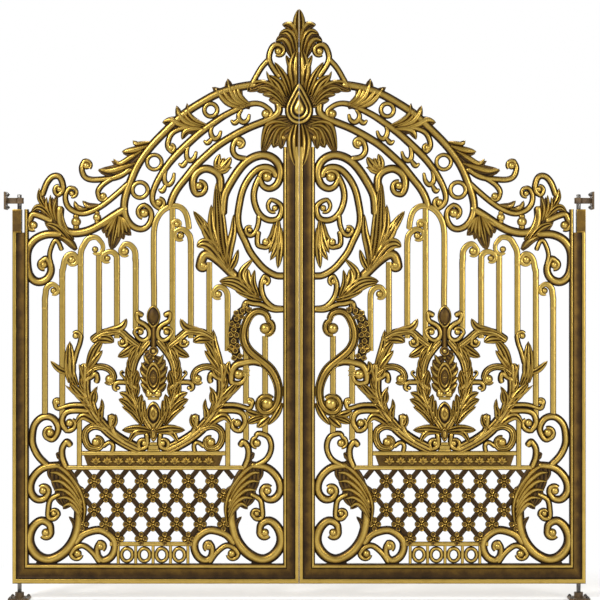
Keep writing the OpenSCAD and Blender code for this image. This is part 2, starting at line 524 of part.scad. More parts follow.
module extra(i) {
    if (i == finial) {
        tear(86, 2985, 3266);
        block(-26, 3230, 26, 3540);
    }
    if (i == inner_console) block(172, 224, 303, 252);
    if (i == outer_console) block(1520, 224, 1657, 252);
    if (i == medallion) {
        block(893, 1590, 937, 1745);
        translate([915, 1562]) circle(r = 28, $fn = 20);
        block(880, 1250, 950, 1266);
        block(866, 1266, 964, 1288);
        block(876, 1288, 954, 1312);
        block(898, 1000, 932, 1110);
        block(885, 929.8, 945, 985);
    }
    if (i == shoulder_scroll_set)
        for (b = shoulder_balls) {
            translate([b.x, b.y]) circle(r = b.z, $fn = 18);
            block(b.x - 16, b.y - b.z - 22, b.x + 16, b.y + b.z + 16);
        }
    if (i == s_scroll) {
        p = smooth(scale_spine, 2);
        ribbon(p, [for (k = [0:len(p) - 1]) 66 - 22 * abs(2 * k / (len(p) - 1) - 1)]);
    }
    if (i == arch_rings) {
        for (r = arch_ring_places)
            translate([r.x, r.y]) difference() {
                circle(r = r.z, $fn = 24);
                circle(r = r[3], $fn = 24);
            }
        for (r = anchor_rows, p = [r[2][0], r[2][len(r[2]) - 1]]) translate(p) circle(r = 10, $fn = 10);
    }
    if (i == shelf) {
        block(340, shelf_low - shelf_bar / 2, 1470, shelf_low + shelf_bar / 2);
        block(432, shelf_low, 465, 1112);
        block(1365, shelf_low, 1398, 1140);
        block(464, shelf_high - shelf_bar / 2, 1366, shelf_high + shelf_bar / 2);
        polygon([[505, shelf_low], [474, shelf_high], [1358, shelf_high], [1327, shelf_low]]);
    }
    if (i == frieze) {
        block(555, 224, 630, 240);
        block(1186, 224, 1261, 240);
        block(640, frieze_rail_z - 14.5, 1190, frieze_rail_z + 14.5);
        for (k = [-2:2]) block(918 + k * frieze_pitch - 10, 224, 918 + k * frieze_pitch + 10, frieze_rail_z);
        for (k = [-1.5:1.5])
            translate([918 + k * frieze_pitch, (224 + frieze_rail_z) / 2 - 7]) scale([1, 1.16]) difference() {
                circle(r = 48, $fn = 24);
                circle(r = 48 * ring_bore, $fn = 24);
            }
    }
    if (i == lattice) lattice_face();
    if (i == uprights) for (r = upright_rows) upright(r);
}

// Children in the drawing's own measures, put in their place in the leaf
module drawn() {
    translate(at([0, 0])) scale([stretch, rise]) children();
}

module bars_of(i) {
    drawn() {
        for (r = castings[i][0]) scroll(r);
        extra(i);
    }
}

module leaves_of(i) {
    drawn() for (r = castings[i][1]) petal(r);
}

// The space inside the frame, and the open air above it
module bay(i) {
    low = bay_in + seat;
    high = bay_out - seat;
    foot = rail_top + seat;
    block_top = stile_top + block_h + 5;
    if (i == finial) polygon([[leaf_in, 2650 * rise], [leaf_in, big], [half / 2, big], [half / 2, 2650 * rise]]);
    else polygon([[low, foot], [low, crest_z], [leaf_in, crest_z], [leaf_in, big], [leaf_out, big],
        [leaf_out, block_top], [high, block_top], [high, foot]]);
}

// What is left of a casting's outline inside the bay, clear of the castings that lie over it
module trimmed(i) {
    intersection() {
        offset(delta = 1) children();
        offset(delta = 0.82) offset(delta = -0.8) difference() {
            intersection() {
                children();
                bay(i);
            }
            offset(delta = seat) for (j = castings[i][2]) {
                bars_of(j);
                leaves_of(j);
            }
        }
    }
}

hook_eyes = [for (r = upright_rows) if (len(r) > 3) hook_row(r)[3]];

function eyes(i) = concat(
    [for (r = castings[i][0], e = [r[1], r[3]]) if (len(e) > 0) e],
    i == uprights ? hook_eyes : []);

module casting(i, depth) {
    color(gold) {
        if (i != shoulder_leaves) slab(depth) trimmed(i) bars_of(i);
        if (len(castings[i][1]) > 0) slab(leaf_d) trimmed(i) leaves_of(i);
        for (e = eyes(i))
            translate([at([e.x, e.y]).x, 0, at([e.x, e.y]).y]) sphere(r = e[2] * 0.97 * min(stretch, rise));
    }
}

module flowers() {
    for (k = [-5:5])
        translate([at([922 + k * flower_pitch, 0]).x, 0, at([0, 873]).y])
            for (a = [45:90:315]) rotate([0, a, 0]) translate([0, 0, 14])
                rotate([90, 0, 0]) cylinder(r = 12, h = shelf_d + 12, center = true);
}

// A rosette on the frieze loses the petals that the scrolls cover
function petal_turns(i, j) = let(inward = -90 * sign(i)) j > 1 || (j == 1 && abs(i) < 4) ? [0:90:270]
    : abs(i) < 2 ? [-90:90:90] : j == 1 ? [0, inward] : [inward];

module rosettes() {
    for (i = [-6:6], j = [0:4])
        if ((i + j) % 2 != 0 && abs(i) < min(6, 4 + 2 * j))
            translate([at([918 + lattice_x * i, 0]).x, 0, at([0, lattice_foot + lattice_z * j]).y])
                for (a = petal_turns(i, j))
                    rotate([0, a, 0]) translate([0, 0, 25])
                    rotate([90, 0, 0]) cylinder(r = 18, h = lattice_d + 12, center = true);
}

module shelf_casting() {
    casting(shelf, shelf_d);
    color(gold) flowers();
}

module lattice_casting() {
    casting(lattice, lattice_d);
    color(gold) rosettes();
}

// Frame of a leaf
module channel(points) {
    for (s = [-1, 1]) translate([0, s * (frame_d / 2 - channel_d / 2 + 0.5), 0])
        slab(channel_d + 1) polygon(points);
}

module meeting_stile() {
    b = bead_w;
    top = crest_z;
    color(gold) difference() {
        slab(frame_d) offset(delta = 0.8) offset(delta = -0.8) difference() {
            polygon([[leaf_in, ground_gap], [bay_in, rail_top], [bay_in, top], [leaf_in, top]]);
            offset(delta = seat) {
                bars_of(finial);
                leaves_of(finial);
            }
        }
        channel([[leaf_in + b, ground_gap + b], [bay_in - b, rail_top - b], [bay_in - b, top - 160],
            [leaf_in + b, top - 160]]);
    }
}

module bottom_rail() {
    b = bead_w;
    color(gold) difference() {
        slab(frame_d) polygon([[leaf_in, ground_gap], [leaf_out, ground_gap], [bay_out, rail_top],
            [bay_in, rail_top]]);
        channel([[leaf_in + b, ground_gap + b], [leaf_out - b, ground_gap + b], [bay_out + b, rail_top - b],
            [bay_in - b, rail_top - b]]);
    }
}

module hinge_stile() {
    b = bead_w;
    strip = bay_out + bead_w + 6;
    color(gold) difference() {
        slab(frame_d) polygon([[leaf_out, ground_gap], [leaf_out, stile_top], [strip, stile_top],
            [strip, stile_top + block_h], [bay_out, stile_top + block_h], [bay_out, rail_top]]);
        channel([[leaf_out - b, ground_gap + b], [leaf_out - b, stile_top - b], [bay_out + b, stile_top - b],
            [bay_out + b, rail_top - b]]);
    }
}

module pivot_pins() {
    block_w = stile_w - bead_w - 6 - slot_w;
    top = stile_top + block_h;
    color(dark) {
        translate([leaf_out - block_w, -frame_d / 2 + 2, stile_top]) cube([block_w, frame_d - 4, block_h]);
        translate([half, 0, top - 1]) cylinder(d = pin_d, h = top_pin_l + 1);
        translate([half, 0, ground_gap - foot_pin_l]) cylinder(d = pin_d, h = foot_pin_l);
    }
}

// Fixed bearings
module floor_bearing() {
    boss_h = 44;
    color(dark) translate([half, 0, 0]) difference() {
        union() {
            translate([-floor_plate / 2, -floor_plate / 2, 0]) cube([floor_plate, floor_plate, plate_t]);
            cylinder(d = pin_d + 30, h = boss_h);
        }
        translate([0, 0, ground_gap - foot_pin_l - seat]) cylinder(d = pin_d + 2 * pin_clear, h = boss_h);
        for (x = [-1, 1], y = [-1, 1])
            translate([x * floor_holes / 2, y * floor_holes / 2, -1]) cylinder(d = hole_d, h = plate_t + 2);
    }
}

module wall_bracket() {
    eye_h = 36;
    mid = stile_top + block_h + top_pin_l - 40;
    color(dark) translate([half, 0, mid]) difference() {
        union() {
            translate([0, 0, -eye_h / 2]) cylinder(d = pin_d + 26, h = eye_h);
            translate([0, -14, -eye_h / 2]) cube([wall_reach - plate_t, 28, eye_h]);
            translate([wall_reach - plate_t, -wall_plate / 2, -wall_plate / 2])
                cube([plate_t, wall_plate, wall_plate]);
        }
        translate([0, 0, -eye_h]) cylinder(d = pin_d + 2 * pin_clear, h = 2 * eye_h);
        for (y = [-1, 1], z = [-1, 1])
            translate([wall_reach - plate_t - 1, y * wall_holes / 2, z * wall_holes / 2])
                rotate([0, 90, 0]) cylinder(d = hole_d, h = plate_t + 2);
    }
}

// The model's origin is under the left floor bearing, on the pivot axis
module right() {
    translate([half, 0, 0]) children();
}

module left() {
    right() mirror([1, 0, 0]) children();
}

left() floor_bearing();  // left_floor_bearing
right() floor_bearing();  // right_floor_bearing
left() wall_bracket();  // left_wall_bracket
right() wall_bracket();  // right_wall_bracket
left() hinge_stile();  // left_hinge_stile
right() hinge_stile();  // right_hinge_stile
left() meeting_stile();  // left_meeting_stile
right() meeting_stile();  // right_meeting_stile
left() bottom_rail();  // left_bottom_rail
right() bottom_rail();  // right_bottom_rail
left() pivot_pins();  // left_pivot_pins
right() pivot_pins();  // right_pivot_pins
left() casting(finial, scroll_d);  // left_finial
right() casting(finial, scroll_d);  // right_finial
left() casting(arch_leaves, scroll_d);  // left_arch_leaves
right() casting(arch_leaves, scroll_d);  // right_arch_leaves
left() casting(shoulder_leaves, scroll_d);  // left_shoulder_leaves
right() casting(shoulder_leaves, scroll_d);  // right_shoulder_leaves
left() casting(plume, scroll_d);  // left_plume
right() casting(plume, scroll_d);  // right_plume
left() casting(medallion, scroll_d);  // left_medallion
right() casting(medallion, scroll_d);  // right_medallion
left() casting(wreath, scroll_d);  // left_wreath
right() casting(wreath, scroll_d);  // right_wreath
left() casting(arch_bar_set, scroll_d);  // left_arch_bars
right() casting(arch_bar_set, scroll_d);  // right_arch_bars
left() casting(shoulder_scroll_set, scroll_d);  // left_shoulder_scrolls
right() casting(shoulder_scroll_set, scroll_d);  // right_shoulder_scrolls
left() casting(lyre, scroll_d);  // left_lyre_scrolls
right() casting(lyre, scroll_d);  // right_lyre_scrolls
left() casting(arch_rings, bar_d);  // left_arch_rings
right() casting(arch_rings, bar_d);  // right_arch_rings
left() casting(s_scroll, scroll_d);  // left_s_scroll
right() casting(s_scroll, scroll_d);  // right_s_scroll
left() casting(inner_console, scroll_d);  // left_inner_console
right() casting(inner_console, scroll_d);  // right_inner_console
left() casting(outer_console, scroll_d);  // left_outer_console
right() casting(outer_console, scroll_d);  // right_outer_console
left() shelf_casting();  // left_shelf
right() shelf_casting();  // right_shelf
left() casting(frieze, bar_d);  // left_ring_frieze
right() casting(frieze, bar_d);  // right_ring_frieze
left() lattice_casting();  // left_lattice
right() lattice_casting();  // right_lattice
left() casting(uprights, bar_d);  // left_upright_bars
right() casting(uprights, bar_d);  // right_upright_bars
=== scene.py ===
import bpy
import bmesh
from math import atan2, copysign, cos, pi, radians, sin
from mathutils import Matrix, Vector


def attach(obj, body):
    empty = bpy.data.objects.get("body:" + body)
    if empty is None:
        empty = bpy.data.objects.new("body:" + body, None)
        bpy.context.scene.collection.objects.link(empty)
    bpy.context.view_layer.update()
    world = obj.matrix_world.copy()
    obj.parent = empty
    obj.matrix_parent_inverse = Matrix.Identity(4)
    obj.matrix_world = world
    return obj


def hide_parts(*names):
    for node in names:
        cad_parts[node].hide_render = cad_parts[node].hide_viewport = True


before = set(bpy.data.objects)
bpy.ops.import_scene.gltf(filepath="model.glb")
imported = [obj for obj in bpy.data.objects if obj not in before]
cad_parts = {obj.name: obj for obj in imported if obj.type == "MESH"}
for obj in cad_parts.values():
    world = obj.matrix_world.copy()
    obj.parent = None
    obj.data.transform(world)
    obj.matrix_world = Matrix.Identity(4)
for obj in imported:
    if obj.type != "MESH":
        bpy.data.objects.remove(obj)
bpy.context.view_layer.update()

# Castings are drawn in millimetres on the right leaf: x from the meeting line, z from the ground
leafPlace = {"meetingLine": 1758.0, "meetingGap": 1.4, "groundGap": 100.0, "stileWidth": 100.0,
             "railTop": 224.0, "leafOuter": 1800.0}


def linear(hexColour):
    channels = [int(hexColour[i:i + 2], 16) / 255 for i in (1, 3, 5)]
    return [c / 12.92 if c <= 0.04045 else ((c + 0.055) / 1.055) ** 2.4 for c in channels] + [1.0]


# Gives a node its inputs: a socket or a node's first output is linked, anything else is set as a value
def feed(tree, node, inputs):
    for name, value in inputs.items():
        source = value.outputs[0] if isinstance(value, bpy.types.Node) else value
        if isinstance(source, bpy.types.NodeSocket):
            tree.links.new(source, node.inputs[name])
        else:
            node.inputs[name].default_value = source


def addNode(tree, kind, inputs=None, stops=(), **settings):
    made = tree.nodes.new(kind)
    for name, value in settings.items():
        setattr(made, name, value)
    if stops:
        ramp = made.color_ramp.elements
        ramp.remove(ramp[1])
        ramp[0].position, ramp[0].color = stops[0][0], linear(stops[0][1])
        for place, colour in stops[1:]:
            ramp.new(place).color = linear(colour)
    feed(tree, made, inputs or {})
    return made


def newMaterial(name):
    material = bpy.data.materials.new(name)
    material.use_nodes = True
    return material, material.node_tree, material.node_tree.nodes["Principled BSDF"]


# Cast aluminium, sprayed antique gold and wiped with a dark brown glaze that stays in the grooves, and sand casting
# leaves it grainy.
# The dark on the flanks and round the rims of balls is painted shade, and the bright satin gold on the crests is the
# wiped gold with a painted highlight.
# The grain is too fine to show on so big a gate, so it is drawn "coarser" times as coarse as it is
antiqueGoldLook = {"glazeAndShade": "#191007", "deepBrown": "#43311a", "oldGold": "#7d602a", "gold": "#a5873c",
                   "rubbedGoldHighlight": "#c9aa58", "grainMm": 1.6, "coarser": 4, "blotchMm": 70.0}


def antiqueGold():
    look = antiqueGoldLook
    material, tree, shader = newMaterial("antiqueGoldCastAluminium")
    place = addNode(tree, "ShaderNodeTexCoord").outputs["Object"]
    gild = addNode(tree, "ShaderNodeAttribute", attribute_name="gild").outputs["Fac"]
    blotch = addNode(tree, "ShaderNodeTexNoise",
                     {"Vector": place, "Scale": 1000 / look["blotchMm"], "Detail": 4.0, "Roughness": 0.6})
    grain = addNode(tree, "ShaderNodeTexNoise",
                    {"Vector": place, "Scale": 1000 / look["grainMm"] / look["coarser"], "Detail": 3.0,
                     "Roughness": 0.65})
    uneven = addNode(tree, "ShaderNodeMapRange",
                     {"Value": blotch, "From Min": 0.3, "From Max": 0.7, "To Min": -0.09, "To Max": 0.09})
    fine = addNode(tree, "ShaderNodeMapRange",
                   {"Value": grain, "From Min": 0.25, "From Max": 0.75, "To Min": -0.03, "To Max": 0.03})
    wipedAndShaded = addNode(tree, "ShaderNodeMath", {0: gild, 1: uneven}, operation="ADD")
    wipedAndShaded = addNode(tree, "ShaderNodeMath", {0: wipedAndShaded, 1: fine}, operation="ADD", use_clamp=True)
    # the darkest stop is the glaze and painted shade, the brightest the rubbed gold with a painted highlight
    colour = addNode(tree, "ShaderNodeValToRGB", {"Fac": wipedAndShaded},
                     [(0.0, look["glazeAndShade"]), (0.22, look["deepBrown"]), (0.5, look["oldGold"]),
                      (0.78, look["gold"]), (1.0, look["rubbedGoldHighlight"])])
    metal = addNode(tree, "ShaderNodeMapRange",
                    {"Value": wipedAndShaded, "From Min": 0.05, "From Max": 0.55, "To Min": 0.8, "To Max": 0.92})
    rough = addNode(tree, "ShaderNodeMapRange",
                    {"Value": wipedAndShaded, "From Min": 0.0, "From Max": 1.0, "To Min": 0.55, "To Max": 0.3})
    bump = addNode(tree, "ShaderNodeBump", {"Height": grain, "Strength": 0.15, "Distance": 0.0005})
    feed(tree, shader, {"Base Color": colour, "Metallic": metal, "Roughness": rough, "Normal": bump})
    return material


# Turned mild steel, oiled: fine rings from the lathe tool and a dull grey shine. One ring of a wave is
# 314 mm over its scale, so these come out about twice as coarse as they are, to show at all
turnedSteelLook = {"light": "#8d8a86", "dark": "#4c4945", "ringMm": 1.2, "ringShare": 6, "stainMm": 40.0}


def turnedSteel():
    look = turnedSteelLook
    material, tree, shader = newMaterial("turnedMildSteel")
    place = addNode(tree, "ShaderNodeTexCoord").outputs["Object"]
    stain = addNode(tree, "ShaderNodeTexNoise",
                    {"Vector": place, "Scale": 1000 / look["stainMm"], "Detail": 5.0, "Roughness": 0.6})
    rings = addNode(tree, "ShaderNodeTexWave",
                    {"Vector": place, "Scale": 1000 / look["ringMm"] / look["ringShare"], "Distortion": 0.6,
                     "Detail": 2.0},
                    wave_type="BANDS", bands_direction="Z")
    colour = addNode(tree, "ShaderNodeValToRGB", {"Fac": stain}, [(0.35, look["dark"]), (0.65, look["light"])])
    rough = addNode(tree, "ShaderNodeMapRange",
                    {"Value": stain, "From Min": 0.3, "From Max": 0.7, "To Min": 0.42, "To Max": 0.28})
    bump = addNode(tree, "ShaderNodeBump",
                   {"Height": rings.outputs["Fac"], "Strength": 0.15, "Distance": 0.0004})
    feed(tree, shader, {"Base Color": colour, "Metallic": 1.0, "Roughness": rough, "Normal": bump})
    return material


# Hot dip galvanised steel, painted dark bronze and weathered: a soft sheen with faint chalky patches,
# and the peel of sprayed paint, drawn "coarser" times as coarse as it is so that it shows
bronzePaintLook = {"paint": "#4b3a26", "worn": "#6d5738", "patchMm": 55.0, "peelMm": 2.4, "coarser": 3}


def bronzePaint():
    look = bronzePaintLook
    material, tree, shader = newMaterial("bronzePaintedSteel")
    place = addNode(tree, "ShaderNodeTexCoord").outputs["Object"]
    patch = addNode(tree, "ShaderNodeTexNoise",
                    {"Vector": place, "Scale": 1000 / look["patchMm"], "Detail": 6.0, "Roughness": 0.62})
    peel = addNode(tree, "ShaderNodeTexNoise",
                   {"Vector": place, "Scale": 1000 / look["peelMm"] / look["coarser"], "Detail": 2.0})
    colour = addNode(tree, "ShaderNodeValToRGB", {"Fac": patch}, [(0.4, look["paint"]), (0.68, look["worn"])])
    rough = addNode(tree, "ShaderNodeMapRange",
                    {"Value": patch, "From Min": 0.3, "From Max": 0.7, "To Min": 0.38, "To Max": 0.55})
    bump = addNode(tree, "ShaderNodeBump", {"Height": peel, "Strength": 0.2, "Distance": 0.0006})
    feed(tree, shader, {"Base Color": colour, "Metallic": 0.25, "Roughness": rough, "Normal": bump})
    return material


goldFinish = antiqueGold()
steelFinish = turnedSteel()
paintFinish = bronzePaint()
print("finishes mixed")


# Curves in the plane of the leaf
def smooth(points, steps, relax=2):
    p = [Vector(q) for q in points]
    p = [2 * p[0] - p[1]] + p + [2 * p[-1] - p[-2]]
    out = []
    for i in range(1, len(p) - 2):
        a, b, c, d = p[i - 1:i + 3]
        for k in range(steps):
            t = k / steps
            out.append((2 * b + (c - a) * t + (2 * a - 5 * b + 4 * c - d) * t * t
                        + (3 * b - a - 3 * c + d) * t ** 3) / 2)
    out.append(p[-2])
    for i in range(relax):
        out = [out[0]] + [(a + 2 * b + c) / 4 for a, b, c in zip(out, out[1:], out[2:])] + [out[-1]]
    return out


def turned(rows, axis):
    flip = lambda spot: [2 * axis - spot[0]] + list(spot[1:]) if spot else []
    return [[row[0], flip(row[1]), [flip(q) for q in row[2]], flip(row[3])] if len(row) == 4
            else [row[0], [flip(q) for q in row[1]]] for row in rows]


# A scroll winds into its eye over this many degrees and steps, and its ends are thinner by this share
curlSettings = {"eyeTurn": 160.0, "eyeSteps": 10, "thinning": 0.45}


def spiral(path, eye):
    turn, steps = curlSettings["eyeTurn"], curlSettings["eyeSteps"]
    end, centre = path[-1], Vector(eye[:2])
    arm = end - centre
    heading = end - path[-2]
    way = 1 if heading.x * -arm.y + heading.y * arm.x > 0 else -1
    start, reach = atan2(arm.y, arm.x), arm.length
    out = []
    for i in range(1, steps + 1):
        angle = start + way * radians(turn) * i / steps
        out.append(centre + (reach + (eye[2] - reach) * i / steps) * Vector((cos(angle), sin(angle))))
    return out


def scrollPath(row, steps, relax):
    path = smooth(row[2], steps, relax)
    head = list(reversed(spiral(path[::-1], row[1]))) if row[1] else []
    tail = spiral(path, row[3]) if row[3] else []
    return head + path + tail


def scrollWidths(row, count):
    fade = lambda t: 1 - curlSettings["thinning"] * max(0.0, t - 0.55) / 0.45
    return [row[0] * (fade(i / (count - 1)) if row[3] else 1) * (fade(1 - i / (count - 1)) if row[1] else 1)
            for i in range(count)]


def leafWidth(t):
    return 0.45 + 0.55 * sin(pi / 2 * t / 0.4) if t < 0.4 else cos(min(pi / 2, pi / 2 * (t - 0.4) / 0.6)) ** 0.62


# The points before, at and after each place on a path; an open path stops at its ends
def neighbours(path, closed):
    n = len(path)
    if closed:
        return [(path[i - 1], path[i], path[(i + 1) % n]) for i in range(n)]
    return [(path[max(i - 1, 0)], path[i], path[min(i + 1, n - 1)]) for i in range(n)]


def normalsOf(path, closed=False):
    ways = [after - before for before, here, after in neighbours(path, closed)]
    return [Vector((-way.y, way.x)).normalized() for way in ways]


def bendOf(path, closed=False):
    out = []
    for a, b, c in neighbours(path, closed):
        u, v = b - a, c - b
        if min(u.length, v.length) < 1e-6:
            out.append(0.0)
            continue
        turn = atan2(u.x * v.y - u.y * v.x, u.dot(v))
        out.append(2 * turn / (u.length + v.length))
    return out


# One casting: points with how far the gold shows on them, the rubbed gold with a painted highlight and painted
# shade, and faces
class Casting:
    def __init__(self):
        self.points, self.gild, self.faces = [], [], []

    def put(self, x, y, z, gild):
        self.points.append((x, y, z))
        self.gild.append(gild)
        return len(self.points) - 1

    def loops(self, rings, closed=False, capped=True):
        n = len(rings[0])
        last = len(rings) if closed else len(rings) - 1
        for i in range(last):
            a, b = rings[i], rings[(i + 1) % len(rings)]
            for k in range(n):
                self.faces.append((a[k], a[(k + 1) % n], b[(k + 1) % n], b[k]))
        if capped and not closed:
            self.faces.append(tuple(reversed(rings[0])))
            self.faces.append(tuple(rings[-1]))


# Sections run from one edge of a band over its front to the other edge: across, height, gold. The gold is a painted
# highlight on the crest that falls down the flanks to painted shade at the edges, with the glaze in the grooves.
def mirrored(half):
    return [(-across, height, gild) for across, height, gild in reversed(half[1:])] + half


# Band with a rounded ridge, steep flanks and a thin flange along both edges
def ridgeBand(height, flange):
    return mirrored([(0.0, height, 1.0), (0.16, height * 0.985, 0.95), (0.32, height * 0.94, 0.78),
                     (0.46, height * 0.87, 0.58), (0.58, height * 0.78, 0.4), (0.69, height * 0.62, 0.22),
                     (0.77, height * 0.4 + flange * 0.3, 0.08), (0.82, flange + 0.4, 0.0),
                     (0.95, flange * 0.95, 0.02), (1.0, flange * 0.6, 0.0)])


# Broad band with a low back, a dark groove along each side and a thin gold rim
def rimBand(height, flange):
    return mirrored([(0.0, height, 0.6), (0.2, height * 0.98, 0.78), (0.36, height * 0.92, 0.62),
                     (0.5, height * 0.8, 0.36), (0.6, height * 0.62, 0.12), (0.66, height * 0.52, 0.0),
                     (0.71, height * 0.52, 0.02), (0.75, height * 0.62, 0.5), (0.81, height * 0.64, 0.85),
                     (0.87, height * 0.56, 0.4), (0.92, flange, 0.0), (1.0, flange * 0.6, 0.0)])


# Flat bar with rounded shoulders
def barBand(height):
    return mirrored([(0.0, height, 1.0), (0.35, height * 0.98, 1.0), (0.62, height * 0.92, 0.94),
                     (0.8, height * 0.8, 0.8), (0.91, height * 0.6, 0.4), (1.0, height * 0.3, 0.05)])


# Stem with three long flutes, for the leafy stems of acanthus
def flutedBand(height, flange):
    return mirrored([(0.0, height, 1.0), (0.13, height * 0.96, 0.82), (0.23, height * 0.87, 0.45),
                     (0.31, height * 0.75, 0.08), (0.42, height * 0.86, 0.62), (0.54, height * 0.88, 0.92),
                     (0.65, height * 0.78, 0.6), (0.75, height * 0.54, 0.16), (0.82, flange, 0.0),
                     (1.0, flange * 0.6, 0.0)])


# Across a tight bend the inner edge stops at this share of the bend's radius. A rounded end is two
# rings: how far out each stands and how wide it is, as shares of half the width
bandSettings = {"tightest": 0.8, "ends": ((0.55, 0.45), (0.35, 0.78))}


def band(casting, path, widths, section, closed=False, rounded=(True, True)):
    look = bandSettings
    normals, bends = normalsOf(path, closed), bendOf(path, closed)
    widest, last = max(widths), len(path) - 1
    rings = []

    def ring(centre, normal, half, bend, low):
        out = []
        for side in (1, -1):
            for across, height, gild in section[::side]:
                reach = across * half
                if bend * reach > look["tightest"]:
                    reach = look["tightest"] / bend
                q = centre + normal * reach
                out.append(casting.put(q.x, -side * (height * low), q.y, gild))
        rings.append(out)

    def rounding(centre, outward, normal, half, low, ends):
        for out, wide in ends:
            ring(centre + outward.normalized() * half * out, normal, half * wide, 0, low * (0.4 + 0.6 * wide))

    for i, centre in enumerate(path):
        half = widths[i] / 2
        low = 0.5 + 0.5 * widths[i] / widest
        if not closed and i == 0 and rounded[0]:
            rounding(centre, path[0] - path[1], normals[0], half, low, look["ends"])
        ring(centre, normals[i], half, bends[i], low)
        if not closed and i == last and rounded[1]:
            rounding(centre, path[-1] - path[-2], normals[-1], half, low, look["ends"][::-1])
    casting.loops(rings, closed)


# A ball's gold is brightest at its front and back poles and dark round its rim: a painted highlight in the middle
# and painted shade at the edge
def ball(casting, x, z, radius, deep, around=12, high=8, gold=1.0):
    poles = [casting.put(x, -deep, z, gold), casting.put(x, deep, z, gold)]
    rings = []
    for j in range(1, high):
        a = pi * j / high
        rings.append([casting.put(x + radius * sin(a) * cos(2 * pi * i / around), -deep * cos(a),
                                  z + radius * sin(a) * sin(2 * pi * i / around),
                                  gold * (0.08 + 0.92 * abs(cos(a)) ** 0.6)) for i in range(around)])
    casting.loops(rings, capped=False)
    for i in range(around):
        after = (i + 1) % around
        casting.faces += [(poles[0], rings[0][after], rings[0][i]), (poles[1], rings[-1][i], rings[-1][after])]


def scroll(casting, row, section, steps=5, relax=2):
    path = scrollPath(row, steps, relax)
    band(casting, path, scrollWidths(row, len(path)), section, rounded=(not row[1], not row[3]))
    crest = section[len(section) // 2][1]
    for eye in (row[1], row[3]):
        if eye:
            x, z, radius = eye
            # a dark disc round the eye behind its ball: painted shade round the ball
            plate(casting, circle(x, z, radius * 0.95, 20), (x, z),
                  [(1.0, 8.0, 0.0), (0.97, 11.0, 0.0), (0.8, 12.0, 0.0)])
            ball(casting, x, z, radius * 0.98, min(radius * 1.02, crest + 8))


# Across one flute the surface rises and falls at these shares of the flute's width
lobeSettings = {"edge": 5.0, "fluteWidth": 23.0, "fluteSteps": (0.0, 0.16, 0.36, 0.64, 0.84), "tightest": 0.85}


# A lobe of a leaf: rounded flutes run from its foot to its tip, with a dark groove between them. The gold is a
# painted highlight along each flute's crest and dark in the grooves and at the edges, the glaze with painted shade,
# and a little darker towards the foot.
def lobe(casting, row, height, steps=5, lift=0.0, curl=0.0, flutes=None, gold=1.0):
    look = lobeSettings
    path = smooth(row[1], steps)
    n = len(path)
    normals, bends = normalsOf(path), bendOf(path)
    count = flutes or max(1, round(row[0] / look["fluteWidth"]))
    across = []
    for f in range(count):
        across += [(2 * (f + s) / count - 1, sin(pi * s) ** 0.85) for s in look["fluteSteps"]]
    across.append((1.0, 0.0))
    fronts, backs = [], []
    for i in range(n - 1):
        t = i / (n - 1)
        half = row[0] / 2 * leafWidth(t)
        rise = 0.7 + 0.3 * sin(pi * min(1, t * 1.1 + 0.1))
        bow = lift + curl * t ** 2
        front, back = [], []
        for u, wave in across:
            dome = 1 - 0.55 * abs(u) ** 3
            tall = look["edge"] + (height - look["edge"]) * rise * dome * (0.5 + 0.5 * wave)
            reach = u * half
            if bends[i] * reach > look["tightest"]:
                reach = look["tightest"] / bends[i]
            q = path[i] + normals[i] * reach
            if abs(u) > 0.999:
                front.append(casting.put(q.x, -bow * 0.5, q.y, 0.0))
                back.append(front[-1])
                continue
            shine = wave ** (1.0 if count == 1 else 1.35)
            gild = gold * (0.06 + 0.9 * shine * (0.72 + 0.28 * min(1, t * 2.2)))
            front.append(casting.put(q.x, -tall - bow, q.y, gild))
            back.append(casting.put(q.x, tall + bow, q.y, gild))
        fronts.append(front)
        backs.append(back)
    tip = casting.put(path[-1].x, -(lift + curl) * 0.5, path[-1].y, 0.5)
    gaps = range(len(across) - 1)
    for a, b, c, d in zip(fronts, fronts[1:], backs, backs[1:]):
        for k in gaps:
            casting.faces += [(a[k], b[k], b[k + 1], a[k + 1]), (c[k], c[k + 1], d[k + 1], d[k])]
    front, back = fronts[-1], backs[-1]
    for k in gaps:
        casting.faces += [(front[k], tip, front[k + 1]), (back[k], back[k + 1], tip)]
    casting.faces.append(tuple(fronts[0] + backs[0][1:-1][::-1]))


# A flat boss with stepped or domed relief: each level is its scale about the centre, its height and its gold. The
# gold is mostly high on the crests as a painted highlight and low in the grooves and at the foot as glaze and
# painted shade.
def plate(casting, outline, centre, levels):
    cx, cz = centre
    casting.loops([[casting.put(cx + (x - cx) * scale, side * height, cz + (z - cz) * scale, gild)
                    for x, z in outline] for side in (-1, 1) for scale, height, gild in levels[::side]])


def circle(x, z, radius, count=24, squash=1.0):
    return [(x + radius * cos(2 * pi * i / count), z + squash * radius * sin(2 * pi * i / count))
            for i in range(count)]


def box(x0, z0, x1, z1):
    return [(x0, z0), (x1, z0), (x1, z1), (x0, z1)]


# Unit vectors along and across a direction given in degrees from upright
def bearing(degrees):
    way = Vector((sin(radians(degrees)), cos(radians(degrees))))
    return way, Vector((way.y, -way.x))


# Closed band round a circle, such as a ring between two bars
def hoop(casting, x, z, outer, inner, section, squash=1.0, count=32):
    path = [Vector(q) for q in circle(x, z, (outer + inner) / 2, count, squash)]
    band(casting, path, [outer - inner] * count, section, closed=True)


# Straight moulding from low to high, across its width from left to right
def rail(casting, x0, z0, x1, z1, section, steps, upright=True):
    if upright:
        path = [Vector(((x0 + x1) / 2, z0 + (z1 - z0) * i / steps)) for i in range(steps + 1)]
    else:
        path = [Vector((x0 + (x1 - x0) * i / steps, (z0 + z1) / 2)) for i in range(steps + 1)]
    wide = x1 - x0 if upright else z1 - z0
    band(casting, path, [wide] * (steps + 1), section, rounded=(False, False))


def scrolls(casting, rows, section, **how):
    for row in rows:
        scroll(casting, row, section, **how)


